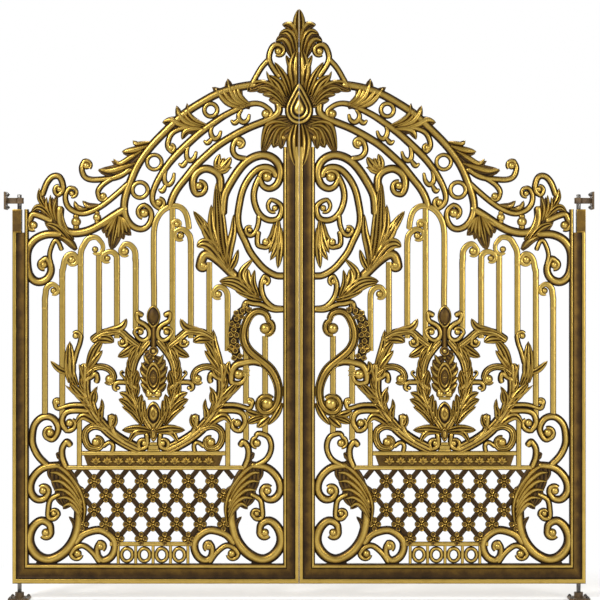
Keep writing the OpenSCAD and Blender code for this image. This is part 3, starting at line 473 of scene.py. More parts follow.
# Lobes that overlap: each lies a step further out than the one before, and starts again after a cycle
def lobes(casting, rows, height, step=0.0, cycle=1, **how):
    for i, row in enumerate(rows):
        lobe(casting, row, height, lift=step * (i % cycle), **how)


def linked(name, data):
    made = bpy.data.objects.new(name, data)
    bpy.context.collection.objects.link(made)
    return made


meshSettings = {"weldMetres": 0.00001, "sharpDegrees": 40.0}


def meshFrom(name, points, faces, gild, finish):
    mesh = bpy.data.meshes.new(name)
    mesh.from_pydata(points, [], faces)
    work = bmesh.new()
    work.from_mesh(mesh)
    layer = work.verts.layers.float.new("gild")
    for vert, value in zip(work.verts, gild):
        vert[layer] = value
    weld = meshSettings["weldMetres"]
    bmesh.ops.remove_doubles(work, verts=work.verts, dist=weld)
    bmesh.ops.dissolve_degenerate(work, edges=work.edges, dist=weld)
    bmesh.ops.recalc_face_normals(work, faces=work.faces)
    work.to_mesh(mesh)
    work.free()
    mesh.polygons.foreach_set("use_smooth", [True] * len(mesh.polygons))
    mesh.set_sharp_from_angle(angle=radians(meshSettings["sharpDegrees"]))
    mesh.materials.append(finish)
    return linked(name, mesh)


triangleCount = {}


def countTriangles(piece):
    piece.data.calc_loop_triangles()
    triangleCount[piece.name] = len(piece.data.loop_triangles)


def bothLeaves(name, casting, nodes, finish=goldFinish):
    for leaf, way in (("right", 1), ("left", -1)):
        points = [((leafPlace["meetingLine"] + way * x) / 1000, y / 1000, z / 1000) for x, y, z in casting.points]
        piece = meshFrom(leaf + name, points, casting.faces, casting.gild, finish)
        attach(piece, leaf + "_leaf")
        if nodes:
            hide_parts(*[leaf + "_" + node for node in nodes])
        countTriangles(piece)
    print(name, "made,", triangleCount["right" + name], "triangles a leaf")


# Stiles and rail: one moulding with a bead at each edge and a cove between, mitred at the corners
frameSettings = {"face": 30.0, "edge": 24.0, "cove": 18.5, "stileTop": 2305.0, "blockTop": 2451.0, "crest": 2842.0}


def frameSection(look, lowShare=0.0):
    face, edge, cove = look["face"], look["edge"], look["cove"]
    # Gold across the moulding: the bead crests brightest as a painted highlight, the bead sides and the groove
    # beside them dark as glaze and painted shade, and the cove a brown that lightens towards the second bead
    shape = [(0.0, edge, 0.1), (0.01, face - 3.0, 0.6), (0.035, face - 0.9, 0.9), (0.07, face, 1.0),
             (0.15, face, 1.0), (0.2, face - 0.6, 0.92), (0.225, face - 1.8, 0.7), (0.24, face - 4.2, 0.25),
             (0.252, cove + 3.2, 0.0), (0.288, cove + 2.6, 0.0), (0.3, cove + 1.4, 0.12), (0.36, cove, 0.17),
             (0.46, cove - 0.4, 0.24), (0.56, cove + 0.2, 0.3), (0.65, cove + 1.6, 0.36),
             (0.72, cove + 3.6, 0.38), (0.756, cove + 5.2, 0.3), (0.77, cove + 3.6, 0.02),
             (0.784, cove + 4.6, 0.04), (0.796, face - 3.8, 0.4), (0.82, face - 1.3, 0.85), (0.85, face, 1.0),
             (0.885, face - 0.3, 0.97), (0.915, face - 1.5, 0.75), (0.94, face - 3.8, 0.4), (0.965, edge - 0.4, 0.2),
             (1.0, edge - 3.0, 0.04)]
    return [q for q in shape if q[0] >= lowShare]


# A stretch of moulding between two lines: each share across the section has its own start and end
def moulding(casting, section, startOf, endOf, steps=1):
    rings = []
    loop = [(share, -height, gild) for share, height, gild in section] + \
           [(share, height, gild) for share, height, gild in reversed(section)]
    for i in range(steps + 1):
        ring = []
        for share, y, gild in loop:
            a, b = Vector(startOf(share)), Vector(endOf(share))
            q = a + (b - a) * i / steps
            ring.append(casting.put(q.x, y, q.y, gild))
        rings.append(ring)
    casting.loops(rings)


def buildFrame():
    look, place = frameSettings, leafPlace
    inner, outer, low, top = place["meetingGap"] / 2, place["leafOuter"], place["groundGap"], place["railTop"]
    wide, tall = place["stileWidth"], top - low
    meetingFoot = lambda s: (inner + wide * s, low + tall * s)
    hingeFoot = lambda s: (outer - wide * s, low + tall * s)
    section = frameSection(look)
    casting = Casting()
    moulding(casting, section, meetingFoot, lambda s: (inner + wide * s, look["crest"]), 6)
    bothLeaves("MeetingStile", casting, ["meeting_stile"])
    casting = Casting()
    moulding(casting, section, meetingFoot, hingeFoot, 6)
    bothLeaves("BottomRail", casting, ["bottom_rail"])
    casting = Casting()
    moulding(casting, section, hingeFoot, lambda s: (outer - wide * s, look["stileTop"]), 6)
    strip = frameSection(look, 0.755)
    moulding(casting, strip, lambda s: (outer - wide * s, look["stileTop"] - 2),
             lambda s: (outer - wide * s, look["blockTop"]))
    bothLeaves("HingeStile", casting, ["hinge_stile"])


buildFrame()
print("stiles and rails moulded")

# Three bars of the arch, with the tall bar that curls under them
archBars = [[54, [], [[287, 3234], [373, 3224], [460, 3200], [534, 3172], [587, 3138], [694, 3078], [758, 3025],
    [819, 2962], [900, 2886], [955, 2822], [1003, 2752], [1037, 2693], [1064, 2610], [1096, 2538], [1108, 2450],
    [1088, 2384], [1042, 2331], [981, 2317], [942, 2348], [920, 2406], [933, 2460], [971, 2478]], [973, 2428, 32]],
    [52, [209, 3052, 30], [[189, 3082], [231, 3120], [304, 3125], [386, 3082], [456, 3050], [500, 3022], [564,
    2975], [628, 2934], [684, 2877], [750, 2818], [800, 2767], [850, 2700], [892, 2630], [922, 2564], [928, 2513],
    [913, 2476], [876, 2455]], [883, 2494, 26]], [52, [], [[130, 3112], [114, 3058], [161, 3032], [209, 3004], [269,
    2986], [350, 2952], [417, 2911], [495, 2868], [546, 2825], [602, 2770], [663, 2722], [696, 2660], [757, 2602],
    [799, 2529], [811, 2470]], []]]
archUpright = [[38, [], [[912, 1830], [912, 1940], [914, 2050], [914, 2160], [914, 2260], [912, 2320], [900, 2378],
    [870, 2430], [830, 2461], [783, 2473], [745, 2464], [715, 2433], [699, 2383], [693, 2334]], []], [24, [], [[798,
    2325], [798, 2364], [780, 2380]], [768, 2358, 23]]]
archBarSettings = {"relief": 21.0, "flange": 10.0, "uprightRelief": 17.0}


def buildArchBars():
    look = archBarSettings
    casting = Casting()
    scrolls(casting, archBars, ridgeBand(look["relief"], look["flange"]), relax=24)
    scrolls(casting, archUpright, barBand(look["uprightRelief"]))
    bothLeaves("ArchBars", casting, ["arch_bars"])


# Bars that stand in the bay, most of them hooked over at the head round a ball
# Each row: number, foot, head, and for a hook its points and its eye, measured across from the bar
uprightRows = [[-0.04, 1040, 1655], [1, 1000, 1176], [1, 1228, 1780], [2, 1560, 1882, [[0, 1890], [4, 1928], [28,
    1958], [62, 1962], [84, 1940]], [58, 1918, 25]], [3, 1600, 2120], [4, 1640, 2236, [[0, 2236], [3, 2264], [10,
    2290], [37, 2318], [66, 2328], [97, 2311]], [64, 2286, 24]], [5, 1600, 2460], [7, 1700, 2140, [[3, 2140], [2,
    2164], [9, 2198], [36, 2228], [68, 2233], [94, 2200]], [69, 2188, 29]], [8.02, 1640, 2080, [[0, 2080], [1,
    2124], [2, 2156], [25, 2182], [59, 2183], [87, 2166]], [60, 2144, 21]], [9, 1600, 2160], [10, 1640, 2162, [[0,
    2162], [-5, 2196], [-19, 2224], [-47, 2267], [-99, 2276], [-134, 2239]], [-92, 2200, 21]], [11, 1080, 2076,
    [[-5, 2076], [-11, 2108], [-18, 2136], [-39, 2164], [-73, 2171], [-97, 2134]], [-60, 2134, 27]], [11.94, 1150,
    1890, [[0, 1890], [-5, 1926], [-8, 1950], [-25, 1972], [-49, 1981], [-75, 1966]], [-54, 1940, 21]]]
uprightSettings = {"first": 218.0, "pitch": 115.6, "width": 38.0, "relief": 13.0, "collarHeight": 1425.0,
                   "collar": ((-22, 9, 24), (-10, 12, 21), (6, 10, 25), (20, 8, 21))}


def buildUprights():
    look = uprightSettings
    casting = Casting()
    for number, foot, head, *hook in uprightRows:
        x = look["first"] + look["pitch"] * number
        rail(casting, x - look["width"] / 2, foot, x + look["width"] / 2, head, barBand(look["relief"]), steps=2)
        if hook:
            points, eye = hook
            curl = [[x, head - 60], [x, head - 20]] + [[x + dx, z] for dx, z in points]
            scroll(casting, [look["width"] + 1, [], curl, [x + eye[0]] + eye[1:]], barBand(look["relief"] + 1.5))
    x, z = look["first"] + look["pitch"], look["collarHeight"]
    for dz, tall, half in look["collar"]:
        plate(casting, box(x - half, z + dz, x + half, z + dz + tall), (x, z + dz + tall / 2),
              [(1.0, 13, 0.3), (0.97, 17, 0.8), (0.8, 19, 1.0)])
    bothLeaves("UprightBars", casting, ["upright_bars"])


buildArchBars()
buildUprights()

# Leaves that break out along the arch, and the leaf scrolls that roll over it
archLeafScrolls = [[38, [], [[634, 2958], [712, 2965], [791, 2938], [822, 2885], [824, 2840], [803, 2813]], [808,
    2838, 24]], [40, [], [[1068, 2702], [1136, 2655], [1234, 2640], [1310, 2638], [1352, 2660], [1368, 2714], [1351,
    2754]], [1337, 2726, 26]]]
archLeafLobes = [[74, [[305, 3094], [384, 3146], [364, 3225]]], [85, [[336, 3097], [426, 3161], [448, 3276]]], [60,
    [[352, 3102], [472, 3172], [548, 3220]]], [58, [[550, 2957], [681, 3000], [705, 3122]]], [63, [[602, 2966],
    [734, 3013], [770, 3106]]], [88, [[648, 2935], [768, 2995], [862, 2998]]], [40, [[600, 2955], [690, 2950], [736,
    2888]]], [38, [[930, 2854], [997, 2854], [1048, 2884]]], [70, [[948, 2818], [1030, 2816], [1109, 2800]]], [66,
    [[991, 2796], [1084, 2719], [1182, 2756]]], [90, [[1034, 2728], [1150, 2689], [1266, 2695]]]]
archFlutes = [[37, [[305, 3108], [358, 3148], [384, 3198], [378, 3236]]], [37, [[318, 3102], [378, 3140], [406,
    3190], [404, 3234]]], [41, [[332, 3098], [398, 3138], [432, 3195], [452, 3270]]], [41, [[348, 3095], [425,
    3130], [464, 3175], [486, 3208]]], [41, [[360, 3086], [440, 3113], [492, 3162], [532, 3216]]], [33, [[577,
    2980], [648, 3009], [696, 3058], [697, 3112]]], [31, [[596, 2974], [676, 3000], [716, 3040], [724, 3078]]], [45,
    [[620, 2970], [710, 2998], [752, 3046], [773, 3100]]], [46, [[660, 2962], [745, 2982], [806, 3016], [862,
    2996]]], [43, [[590, 2955], [673, 2958], [722, 2938], [738, 2889]]], [31, [[938, 2874], [990, 2866], [1030,
    2862], [1043, 2886]]], [46, [[955, 2850], [1022, 2828], [1076, 2818], [1116, 2812]]], [39, [[990, 2818], [1062,
    2776], [1130, 2736], [1168, 2770]]], [46, [[1030, 2740], [1124, 2710], [1196, 2692], [1264, 2704]]]]
archCurl = [38, [], [[1060, 2700], [1120, 2668], [1180, 2644], [1236, 2606], [1264, 2566], [1260, 2530]], [1232,
    2534, 25]]
archLeafSettings = {"relief": 25.0, "scrollRelief": 22.0, "flange": 10.0, "curl": 5.0}


def buildArchLeaves():
    look = archLeafSettings
    casting = Casting()
    scrolls(casting, archLeafScrolls + [archCurl], ridgeBand(look["scrollRelief"], look["flange"]))
    # the low lobes behind are darkened: the glaze, and painted shade under the flutes that lie over them
    lobes(casting, archLeafLobes, look["flange"] + 2, gold=0.36)
    lobes(casting, archFlutes, look["relief"], 0.6, 3, curl=look["curl"], flutes=1)
    bothLeaves("ArchLeaves", casting, ["arch_leaves"])


# Leaves at the shoulder, hanging under it and springing over the hinge stile
shoulderLobes = [[66, [[1142, 2414], [1102, 2334], [1054, 2286]]], [65, [[1155, 2412], [1128, 2328], [1101, 2260]]],
    [98, [[1163, 2420], [1157, 2303], [1182, 2192]]], [66, [[1170, 2419], [1188, 2335], [1212, 2269]]], [64, [[1165,
    2405], [1210, 2352], [1232, 2298]]], [46, [[1508, 2372], [1538, 2462], [1520, 2546]]], [38, [[1520, 2356],
    [1552, 2450], [1550, 2532]]], [54, [[1536, 2358], [1611, 2460], [1606, 2546]]], [44, [[1536, 2384], [1612,
    2484], [1636, 2588]]], [48, [[1536, 2388], [1616, 2465], [1693, 2428]]], [76, [[1420, 2252], [1506, 2301],
    [1604, 2376]]], [52, [[1401, 2196], [1446, 2248], [1526, 2288]]], [44, [[1252, 2475], [1318, 2470], [1364,
    2506]]], [41, [[1332, 2448], [1395, 2462], [1412, 2507]]]]
shoulderFlutes = [[33, [[1106, 2396], [1080, 2360], [1058, 2320]]], [34, [[1113, 2400], [1094, 2352], [1079,
    2301]]], [35, [[1121, 2404], [1110, 2344], [1107, 2288]]], [35, [[1130, 2406], [1131, 2335], [1138, 2264]]],
    [39, [[1139, 2408], [1157, 2310], [1176, 2214]]], [35, [[1148, 2406], [1180, 2340], [1202, 2276]]], [34, [[1156,
    2402], [1194, 2354], [1220, 2314]]], [33, [[1164, 2396], [1208, 2366], [1238, 2340]]]]
shoulderSprays = [[28, [[1256, 2480], [1320, 2464], [1346, 2482], [1353, 2503]]], [32, [[1330, 2454], [1378, 2452],
    [1402, 2476], [1411, 2503]]], [28, [[1526, 2378], [1542, 2458], [1519, 2530]]], [28, [[1538, 2384], [1566,
    2465], [1562, 2546]]], [26, [[1550, 2390], [1588, 2465], [1586, 2532]]], [40, [[1600, 2470], [1630, 2520],
    [1634, 2582]]], [42, [[1545, 2388], [1606, 2456], [1650, 2466], [1684, 2432]]], [42, [[1422, 2262], [1484,
    2352], [1494, 2444]]], [44, [[1448, 2262], [1524, 2342], [1600, 2362]]], [34, [[1404, 2206], [1444, 2252],
    [1512, 2284]]]]
shoulderLeafSettings = {"relief": 25.0, "curl": 5.0}


def buildShoulderLeaves():
    look = shoulderLeafSettings
    casting = Casting()
    # the low lobes behind are darkened: the glaze, and painted shade under the flutes that lie over them
    lobes(casting, shoulderLobes, 12, gold=0.42)
    for i, row in enumerate(shoulderFlutes + shoulderSprays):
        lobe(casting, row, look["relief"], curl=look["curl"], lift=0.6 * (i % 3), flutes=2 if row[0] > 38 else 1)
    bothLeaves("ShoulderLeaves", casting, ["shoulder_leaves"])


# Scrolls of the shoulder, with two balls held between them
shoulderScrolls = [[40, [], [[1077, 2611], [1136, 2557], [1208, 2497], [1276, 2452], [1354, 2424], [1418, 2440],
    [1459, 2478], [1470, 2537], [1445, 2584], [1413, 2582]], [1429, 2551, 20]], [58, [], [[1096, 2453], [1168,
    2409], [1250, 2354], [1332, 2314], [1423, 2302], [1484, 2329], [1507, 2393], [1504, 2456]], []], [42, [],
    [[1613, 2546], [1587, 2616], [1550, 2658], [1507, 2657], [1486, 2610], [1487, 2565], [1515, 2540]], [1507, 2578,
    22]], [48, [], [[1564, 2382], [1626, 2410], [1675, 2421], [1694, 2384]], [1670, 2352, 28]], [56, [], [[1509,
    2294], [1590, 2294], [1662, 2262], [1706, 2199], [1712, 2116], [1696, 2036], [1646, 1994], [1586, 2012], [1558,
    2074], [1585, 2141], [1618, 2125]], [1605, 2102, 26]], [32, [], [[1555, 2095], [1570, 2158], [1558, 2213],
    [1535, 2256], [1513, 2245], [1494, 2200]], []]]
shoulderBalls = [[1270, 2401, 27], [1402, 2373, 32]]
shoulderScrollSettings = {"relief": 21.0, "flange": 10.0,
                          "ballCups": ((0.82, 0.62, 11), (1.02, 0.82, 15), (1.22, 0.6, 12))}


def buildShoulderScrolls():
    look = shoulderScrollSettings
    casting = Casting()
    scrolls(casting, shoulderScrolls, ridgeBand(look["relief"], look["flange"]))
    for x, z, radius in shoulderBalls:
        ball(casting, x, z, radius, radius * 0.95, around=20, high=12)
        for way in (-1, 1):
            for out, half, deep in look["ballCups"]:
                ball(casting, x, z + way * radius * out, radius * half * 0.8, deep, high=6, gold=0.8)
    bothLeaves("ShoulderScrolls", casting, ["shoulder_scrolls"])


buildArchLeaves()
buildShoulderLeaves()
buildShoulderScrolls()
print("arch and shoulder cast")

# Lyre shaped scrolls beside the meeting stile, with a husk of leaves under them
lyreScrolls = [[58, [], [[480, 2429], [474, 2516], [456, 2572], [400, 2669], [342, 2742], [279, 2782], [215, 2792],
    [158, 2769], [124, 2723], [118, 2666], [138, 2608], [184, 2581], [226, 2598], [246, 2638]], [200, 2655, 34]],
    [48, [], [[101, 2032], [150, 2036], [218, 2076], [267, 2129], [310, 2188], [337, 2249], [376, 2331], [386,
    2404], [374, 2490], [358, 2562], [332, 2621], [298, 2669], [256, 2706], [206, 2716], [166, 2700], [148, 2664]],
    []], [44, [], [[250, 2651], [273, 2600], [285, 2544], [278, 2484], [250, 2423], [203, 2386], [146, 2384], [116,
    2413], [111, 2471], [145, 2502], [175, 2512]], [151, 2459, 22]], [36, [], [[252, 2408], [258, 2350], [280,
    2301], [309, 2286], [330, 2302]], [309, 2322, 20]], [40, [], [[335, 2769], [391, 2781], [418, 2819], [408,
    2871], [382, 2896], [360, 2889]], [375, 2867, 26]], [54, [], [[496, 2574], [496, 2647], [529, 2690], [591,
    2708], [642, 2682], [666, 2639], [664, 2582], [645, 2548], [613, 2550]], [629, 2598, 28]], [38, [], [[256,
    2306], [262, 2267], [258, 2226], [225, 2214]], [209, 2245, 26]]]
lyreLobes = [[46, [[508, 2682], [466, 2698], [432, 2718]]], [50, [[508, 2688], [516, 2746], [496, 2802]]], [56,
    [[508, 2686], [456, 2736], [426, 2782]]], [60, [[510, 2680], [486, 2734], [468, 2776]]], [36, [[510, 2698],
    [466, 2710], [420, 2714]]], [40, [[476, 2703], [511, 2720], [541, 2713]]], [56, [[131, 2377], [143, 2280], [192,
    2172]]], [56, [[130, 2350], [132, 2226], [183, 2128]]], [52, [[116, 2334], [122, 2184], [134, 2076]]], [30,
    [[158, 2360], [173, 2290], [215, 2242]]]]
lyreSettings = {"relief": 22.0, "flange": 10.0, "leafRelief": 22.0}


def buildLyre():
    look = lyreSettings
    casting = Casting()
    scrolls(casting, lyreScrolls, ridgeBand(look["relief"], look["flange"]))
    lobes(casting, lyreLobes, look["leafRelief"], 0.6, 3, curl=3)
    bothLeaves("LyreScrolls", casting, ["lyre_scrolls"])


# Rings and anchors held between the arch bars
archRings = [[555, 3076, 56, 25], [910, 2748, 60, 32], [1000, 2573, 64, 33]]
anchorRows = [[19, [], [[314, 3042], [322, 3014], [348, 2998], [374, 3014], [380, 3046], [362, 3074]], []], [19, [],
    [[378, 3026], [390, 3004], [408, 2994], [422, 3006]], []], [19, [], [[493, 2938], [504, 2908], [528, 2894],
    [549, 2912], [556, 2946], [544, 2974]], []], [19, [], [[548, 2902], [562, 2880], [578, 2869], [592, 2878]], []],
    [19, [], [[648, 2808], [658, 2776], [682, 2757], [704, 2772], [707, 2812], [694, 2854]], []], [19, [], [[702,
    2766], [718, 2740], [734, 2725], [750, 2734]], []], [19, [], [[786, 2673], [794, 2632], [818, 2606], [842,
    2620], [847, 2656], [834, 2704]], []], [19, [], [[838, 2604], [850, 2580], [862, 2565], [876, 2573]], []]]
archRingSettings = {"relief": 17.0, "flange": 9.0, "anchorRelief": 16.0}


def buildArchRings():
    look = archRingSettings
    casting = Casting()
    for x, z, radius, bore in archRings:
        hoop(casting, x, z, radius, bore, ridgeBand(look["relief"], look["flange"]))
    for row in anchorRows:
        path = smooth(row[2], 5)
        widths = [22 + 16 * sin(pi * i / (len(path) - 1)) for i in range(len(path))]
        band(casting, path, widths, ridgeBand(look["anchorRelief"], 8))
        for x, z in (row[2][0], row[2][-1]):
            ball(casting, x, z, 11.5, 13.0, gold=0.8)
    bothLeaves("ArchRings", casting, ["arch_rings"])


buildLyre()
buildArchRings()

# Tall plume of leaves in the upper panel
plumeScrolls = [[64, [], [[408, 2035], [483, 2109], [553, 2163], [596, 2164], [616, 2123], [626, 2093]], [606, 2100,
    26]], [40, [], [[102, 1826], [163, 1835], [215, 1884], [236, 1942], [235, 1992], [218, 2032]], [217, 1997, 22]]]
plumeLobes = [[96, [[452, 2080], [490, 2240], [505, 2420], [519, 2628]]], [58, [[448, 2080], [438, 2200], [414,
    2310], [411, 2421]]], [44, [[440, 2060], [404, 2124], [381, 2201]]], [56, [[500, 2190], [548, 2330], [552,
    2484]]], [54, [[504, 2190], [584, 2300], [608, 2396]]], [66, [[500, 2170], [562, 2290], [614, 2370], [665,
    2442]]], [88, [[448, 2076], [540, 2206], [600, 2236], [644, 2214]]], [40, [[253, 1898], [288, 1993], [278,
    2073]]], [60, [[274, 1901], [322, 2008], [320, 2078]]], [52, [[290, 1910], [365, 2042], [283, 2146]]], [92,
    [[263, 1889], [393, 1987], [503, 1999]]], [40, [[230, 1880], [314, 1903], [401, 1936]]]]
plumeSettings = {"relief": 24.0, "scrollRelief": 21.0, "flange": 10.0, "curl": 6.0, "beadRadius": 4.2,
                 "beadSpacing": 13.0}


def buildPlume():
    look = plumeSettings
    casting = Casting()
    scrolls(casting, plumeScrolls, ridgeBand(look["scrollRelief"], look["flange"]))
    for i, row in enumerate(plumeLobes):
        lobe(casting, row, look["relief"] + (3 if i == 0 else 0), curl=look["curl"], lift=1.3 * (i % 4), steps=7,
             flutes=max(1, round(row[0] / 26)))
    bothLeaves("Plume", casting, ["plume"])


# S scroll with a band of scales on its back
sScrolls = [[54, [], [[238, 1486], [290, 1496], [348, 1486], [399, 1470], [426, 1417], [425, 1365]], [379, 1413,
    35]], [38, [], [[100, 1820], [169, 1820], [235, 1852], [290, 1858], [332, 1868], [348, 1835]], []]]
sLobes = [[57, [[188, 1147], [231, 1107], [268, 1079]]], [58, [[224, 1147], [284, 1128], [326, 1105]]], [46, [[106,
    1234], [145, 1156], [198, 1092]]], [52, [[246, 1154], [295, 1166], [336, 1186]]], [40, [[413, 1548], [438,
    1575], [452, 1564]]], [45, [[424, 1403], [449, 1456], [434, 1498]]]]
scaleSpine = [[325, 1835], [378, 1790], [405, 1720], [412, 1640], [402, 1570], [385, 1505]]
sScrollMain = [64, [212, 1702, 38], [[190, 1752], [206, 1794], [256, 1812], [306, 1787], [340, 1718], [350, 1643],
    [320, 1567], [256, 1511], [193, 1461], [156, 1411], [131, 1342], [128, 1279], [144, 1218], [182, 1178], [230,
    1174], [256, 1204]], [200, 1229, 43]]
sScrollSettings = {"relief": 27.0, "flange": 12.0, "leafRelief": 24.0, "scaleBand": 74.0, "scalePitch": 34.0,
                   "scaleAcross": 38.0, "scaleRim": [(17, 1), (15, -8), (8.5, -15), (0, -17), (-8.5, -15), (-15, -8),
                                                     (-17, 1), (-9, 10), (0, 18), (9, 10)]}


def buildSScroll():
    look = sScrollSettings
    casting = Casting()
    scroll(casting, sScrollMain, rimBand(look["relief"], look["flange"]), relax=4)
    scrolls(casting, sScrolls, ridgeBand(look["relief"] - 5, look["flange"] - 2))
    lobes(casting, sLobes, look["leafRelief"], 0.5, 3, curl=3)
    path = smooth(scaleSpine, 6)
    n = len(path)
    widths = [look["scaleBand"] - 22 * abs(2 * i / (n - 1) - 1) for i in range(n)]
    band(casting, path, widths, mirrored([(0.0, 17, 0.0), (0.5, 16, 0.0), (0.9, 13, 0.05), (1.0, 6, 0.0)]))
    bothLeaves("SScroll", casting, ["s_scroll"])


buildPlume()
buildSScroll()
print("upper panel cast")

# Consoles: C scrolls and acanthus at both ends of the lower panel
consoleScrolls = [[54, [], [[290, 840], [209, 830], [152, 787], [120, 729], [122, 669], [160, 628], [208, 632],
    [232, 666]], [199, 682, 28]], [38, [], [[298, 659], [244, 626], [232, 569], [232, 514], [269, 506], [295, 532]],
    [266, 538, 22]], [68, [], [[426, 618], [426, 536], [417, 450], [390, 368], [337, 299], [267, 255], [209, 250],
    [155, 280], [116, 337], [112, 399], [140, 460], [189, 495], [238, 471], [247, 428]], [215, 418, 28]], [44, [],
    [[341, 834], [320, 888], [318, 946], [338, 981], [352, 990], [368, 969]], []]]
consoleLobes = [[44, [[261, 852], [242, 795], [259, 736]]], [102, [[299, 855], [296, 742], [336, 626]]], [92, [[288,
    866], [376, 730], [416, 552]]], [68, [[306, 718], [304, 644], [333, 580]]], [84, [[458, 626], [408, 680], [328,
    626]]], [70, [[428, 538], [382, 616], [322, 564]]], [38, [[398, 408], [398, 474], [360, 520]]], [44, [[319,
    869], [298, 905], [278, 917]]]]
innerConsoleTop = [[40, [], [[272, 840], [209, 875], [179, 928], [176, 981], [200, 1027], [256, 1043], [276, 1017]],
    [265, 981, 28]]]
outerConsoleTop = [[48, [], [[1586, 844], [1640, 899], [1674, 968], [1677, 1032], [1662, 1100], [1611, 1146], [1550,
    1140], [1515, 1089], [1521, 1041], [1551, 1001], [1589, 1017]], [1565, 1047, 30]]]
consoleFlutes = [[40, [[438, 652], [376, 765], [308, 828], [250, 843]]], [40, [[444, 614], [380, 721], [300, 790],
    [241, 796]]], [40, [[447, 577], [388, 674], [312, 740], [246, 739]]], [38, [[447, 549], [396, 637], [328, 688],
    [262, 685]]], [36, [[444, 520], [405, 599], [346, 640], [286, 633]]], [36, [[442, 495], [410, 562], [366, 602],
    [318, 578]]], [30, [[452, 470], [462, 580], [430, 690], [350, 800], [268, 858]]]]
consoleSettings = {"relief": 24.0, "flange": 11.0, "leafRelief": 27.0, "turnAxis": 904.0, "curl": 4.0}


def buildConsole(name, node, rows, leaves, flutes, foot):
    look = consoleSettings
    casting = Casting()
    scrolls(casting, rows, ridgeBand(look["relief"], look["flange"]))
    # the low lobes behind are darkened: the glaze, and painted shade under the flutes that lie over them
    lobes(casting, leaves, 16, gold=0.36, steps=7)
    lobes(casting, flutes, look["leafRelief"], 0.7, len(flutes), curl=look["curl"], steps=7, flutes=1)
    low, high = foot
    plate(casting, [(low, 223), (high, 223), (high - 12, 250), (low + 12, 250)], ((low + high) / 2, 232),
          [(1.0, 8, 0.0), (0.98, 11, 0.05), (0.85, 12, 0.1)])
    bothLeaves(name, casting, [node])


buildConsole("InnerConsole", "inner_console", consoleScrolls + innerConsoleTop, consoleLobes, consoleFlutes,
             (172, 303))
axis = consoleSettings["turnAxis"]
buildConsole("OuterConsole", "outer_console", turned(consoleScrolls, axis) + outerConsoleTop,
             turned(consoleLobes, axis), turned(consoleFlutes, axis), (1520, 1657))

# Ring frieze over the bottom rail
friezeScrolls = [[54, [], [[414, 357], [459, 408], [553, 436], [615, 411], [655, 365], [656, 309], [629, 261], [583,
    242], [551, 269], [546, 321], [562, 355]], [567, 331, 26]], [40, [], [[559, 237], [519, 293], [460, 338], [409,
    322], [382, 285]], [424, 286, 27]]]
friezeSettings = {"pitch": 109.5, "middle": 918.0, "railHeight": 347.0, "railWidth": 29.0, "foot": 223.0,
                  "ring": 48.0, "bore": 0.45, "relief": 20.0, "turnAxis": 908.0, "railFrom": 640.0,
                  "railTo": 1190.0, "ringHeight": 278.5, "ringSquash": 1.16, "feet": (593, 1223)}


def buildFrieze():
    look = friezeSettings
    high, half, foot = look["railHeight"], look["railWidth"] / 2, look["foot"]
    casting = Casting()
    scrolls(casting, friezeScrolls + turned(friezeScrolls, look["turnAxis"]), ridgeBand(look["relief"], 10))
    rail(casting, look["railFrom"], high - half, look["railTo"], high + half, barBand(15), steps=4, upright=False)
    for k in range(-2, 3):
        x = look["middle"] + k * look["pitch"]
        rail(casting, x - 10, foot, x + 10, high, barBand(12), steps=2)
    for k in range(4):
        x = look["middle"] + (k - 1.5) * look["pitch"]
        hoop(casting, x, look["ringHeight"], look["ring"], look["ring"] * look["bore"], ridgeBand(15, 8),
             squash=look["ringSquash"], count=26)
    for x in look["feet"]:
        plate(casting, [(x - 38, foot), (x + 38, foot), (x + 30, foot + 19), (x - 30, foot + 19)], (x, foot + 5),
              [(1.0, 8, 0.0), (0.96, 11, 0.05), (0.8, 12, 0.1)])
    bothLeaves("RingFrieze", casting, ["ring_frieze"])


buildFrieze()
print("consoles and frieze cast")

# Wreath of acanthus and scrolls on both sides of the medallion
wreathScrolls = [[38, [], [[841, 1786], [816, 1800], [809, 1789], [816, 1749], [858, 1728], [888, 1693], [887,
    1646], [853, 1625], [819, 1641], [795, 1676]], [833, 1680, 22]], [56, [], [[536, 1632], [589, 1668], [646,
    1681], [707, 1680], [753, 1640], [812, 1594]], []], [30, [], [[700, 1686], [737, 1654], [748, 1604]], [719,
    1620, 20]], [46, [], [[498, 1421], [547, 1457], [603, 1460], [649, 1436], [665, 1397], [660, 1388]], [639, 1384,
    30]], [38, [], [[818, 1322], [755, 1362], [692, 1364]], [692, 1328, 15]], [18, [], [[788, 1317], [754, 1362],
    [717, 1407]], [724, 1425, 9]], [40, [], [[489, 1378], [534, 1406], [552, 1419], [562, 1387], [556, 1368]], []],
    [76, [], [[816, 944], [708, 1000], [618, 1070], [535, 1172], [484, 1285], [484, 1392], [487, 1462]], []], [42,
    [], [[725, 990], [671, 1038], [648, 1098], [644, 1148]], [651, 1126, 19]], [50, [], [[623, 1065], [548, 1091],
    [488, 1057], [487, 998], [516, 952], [572, 951]], [554, 988, 30]], [32, [], [[600, 962], [637, 988], [662, 968],
    [656, 930]], []], [34, [], [[481, 1222], [390, 1222], [312, 1196], [296, 1229]], [310, 1239, 21]], [44, [],
    [[496, 1184], [403, 1187], [352, 1165], [338, 1107], [370, 1061]], [387, 1108, 28]], [58, [], [[894, 1082],
    [818, 1204], [780, 1306], [776, 1412], [800, 1516], [878, 1616]], []], [38, [], [[872, 1035], [876, 963], [834,
    944]], [858, 980, 23]]]
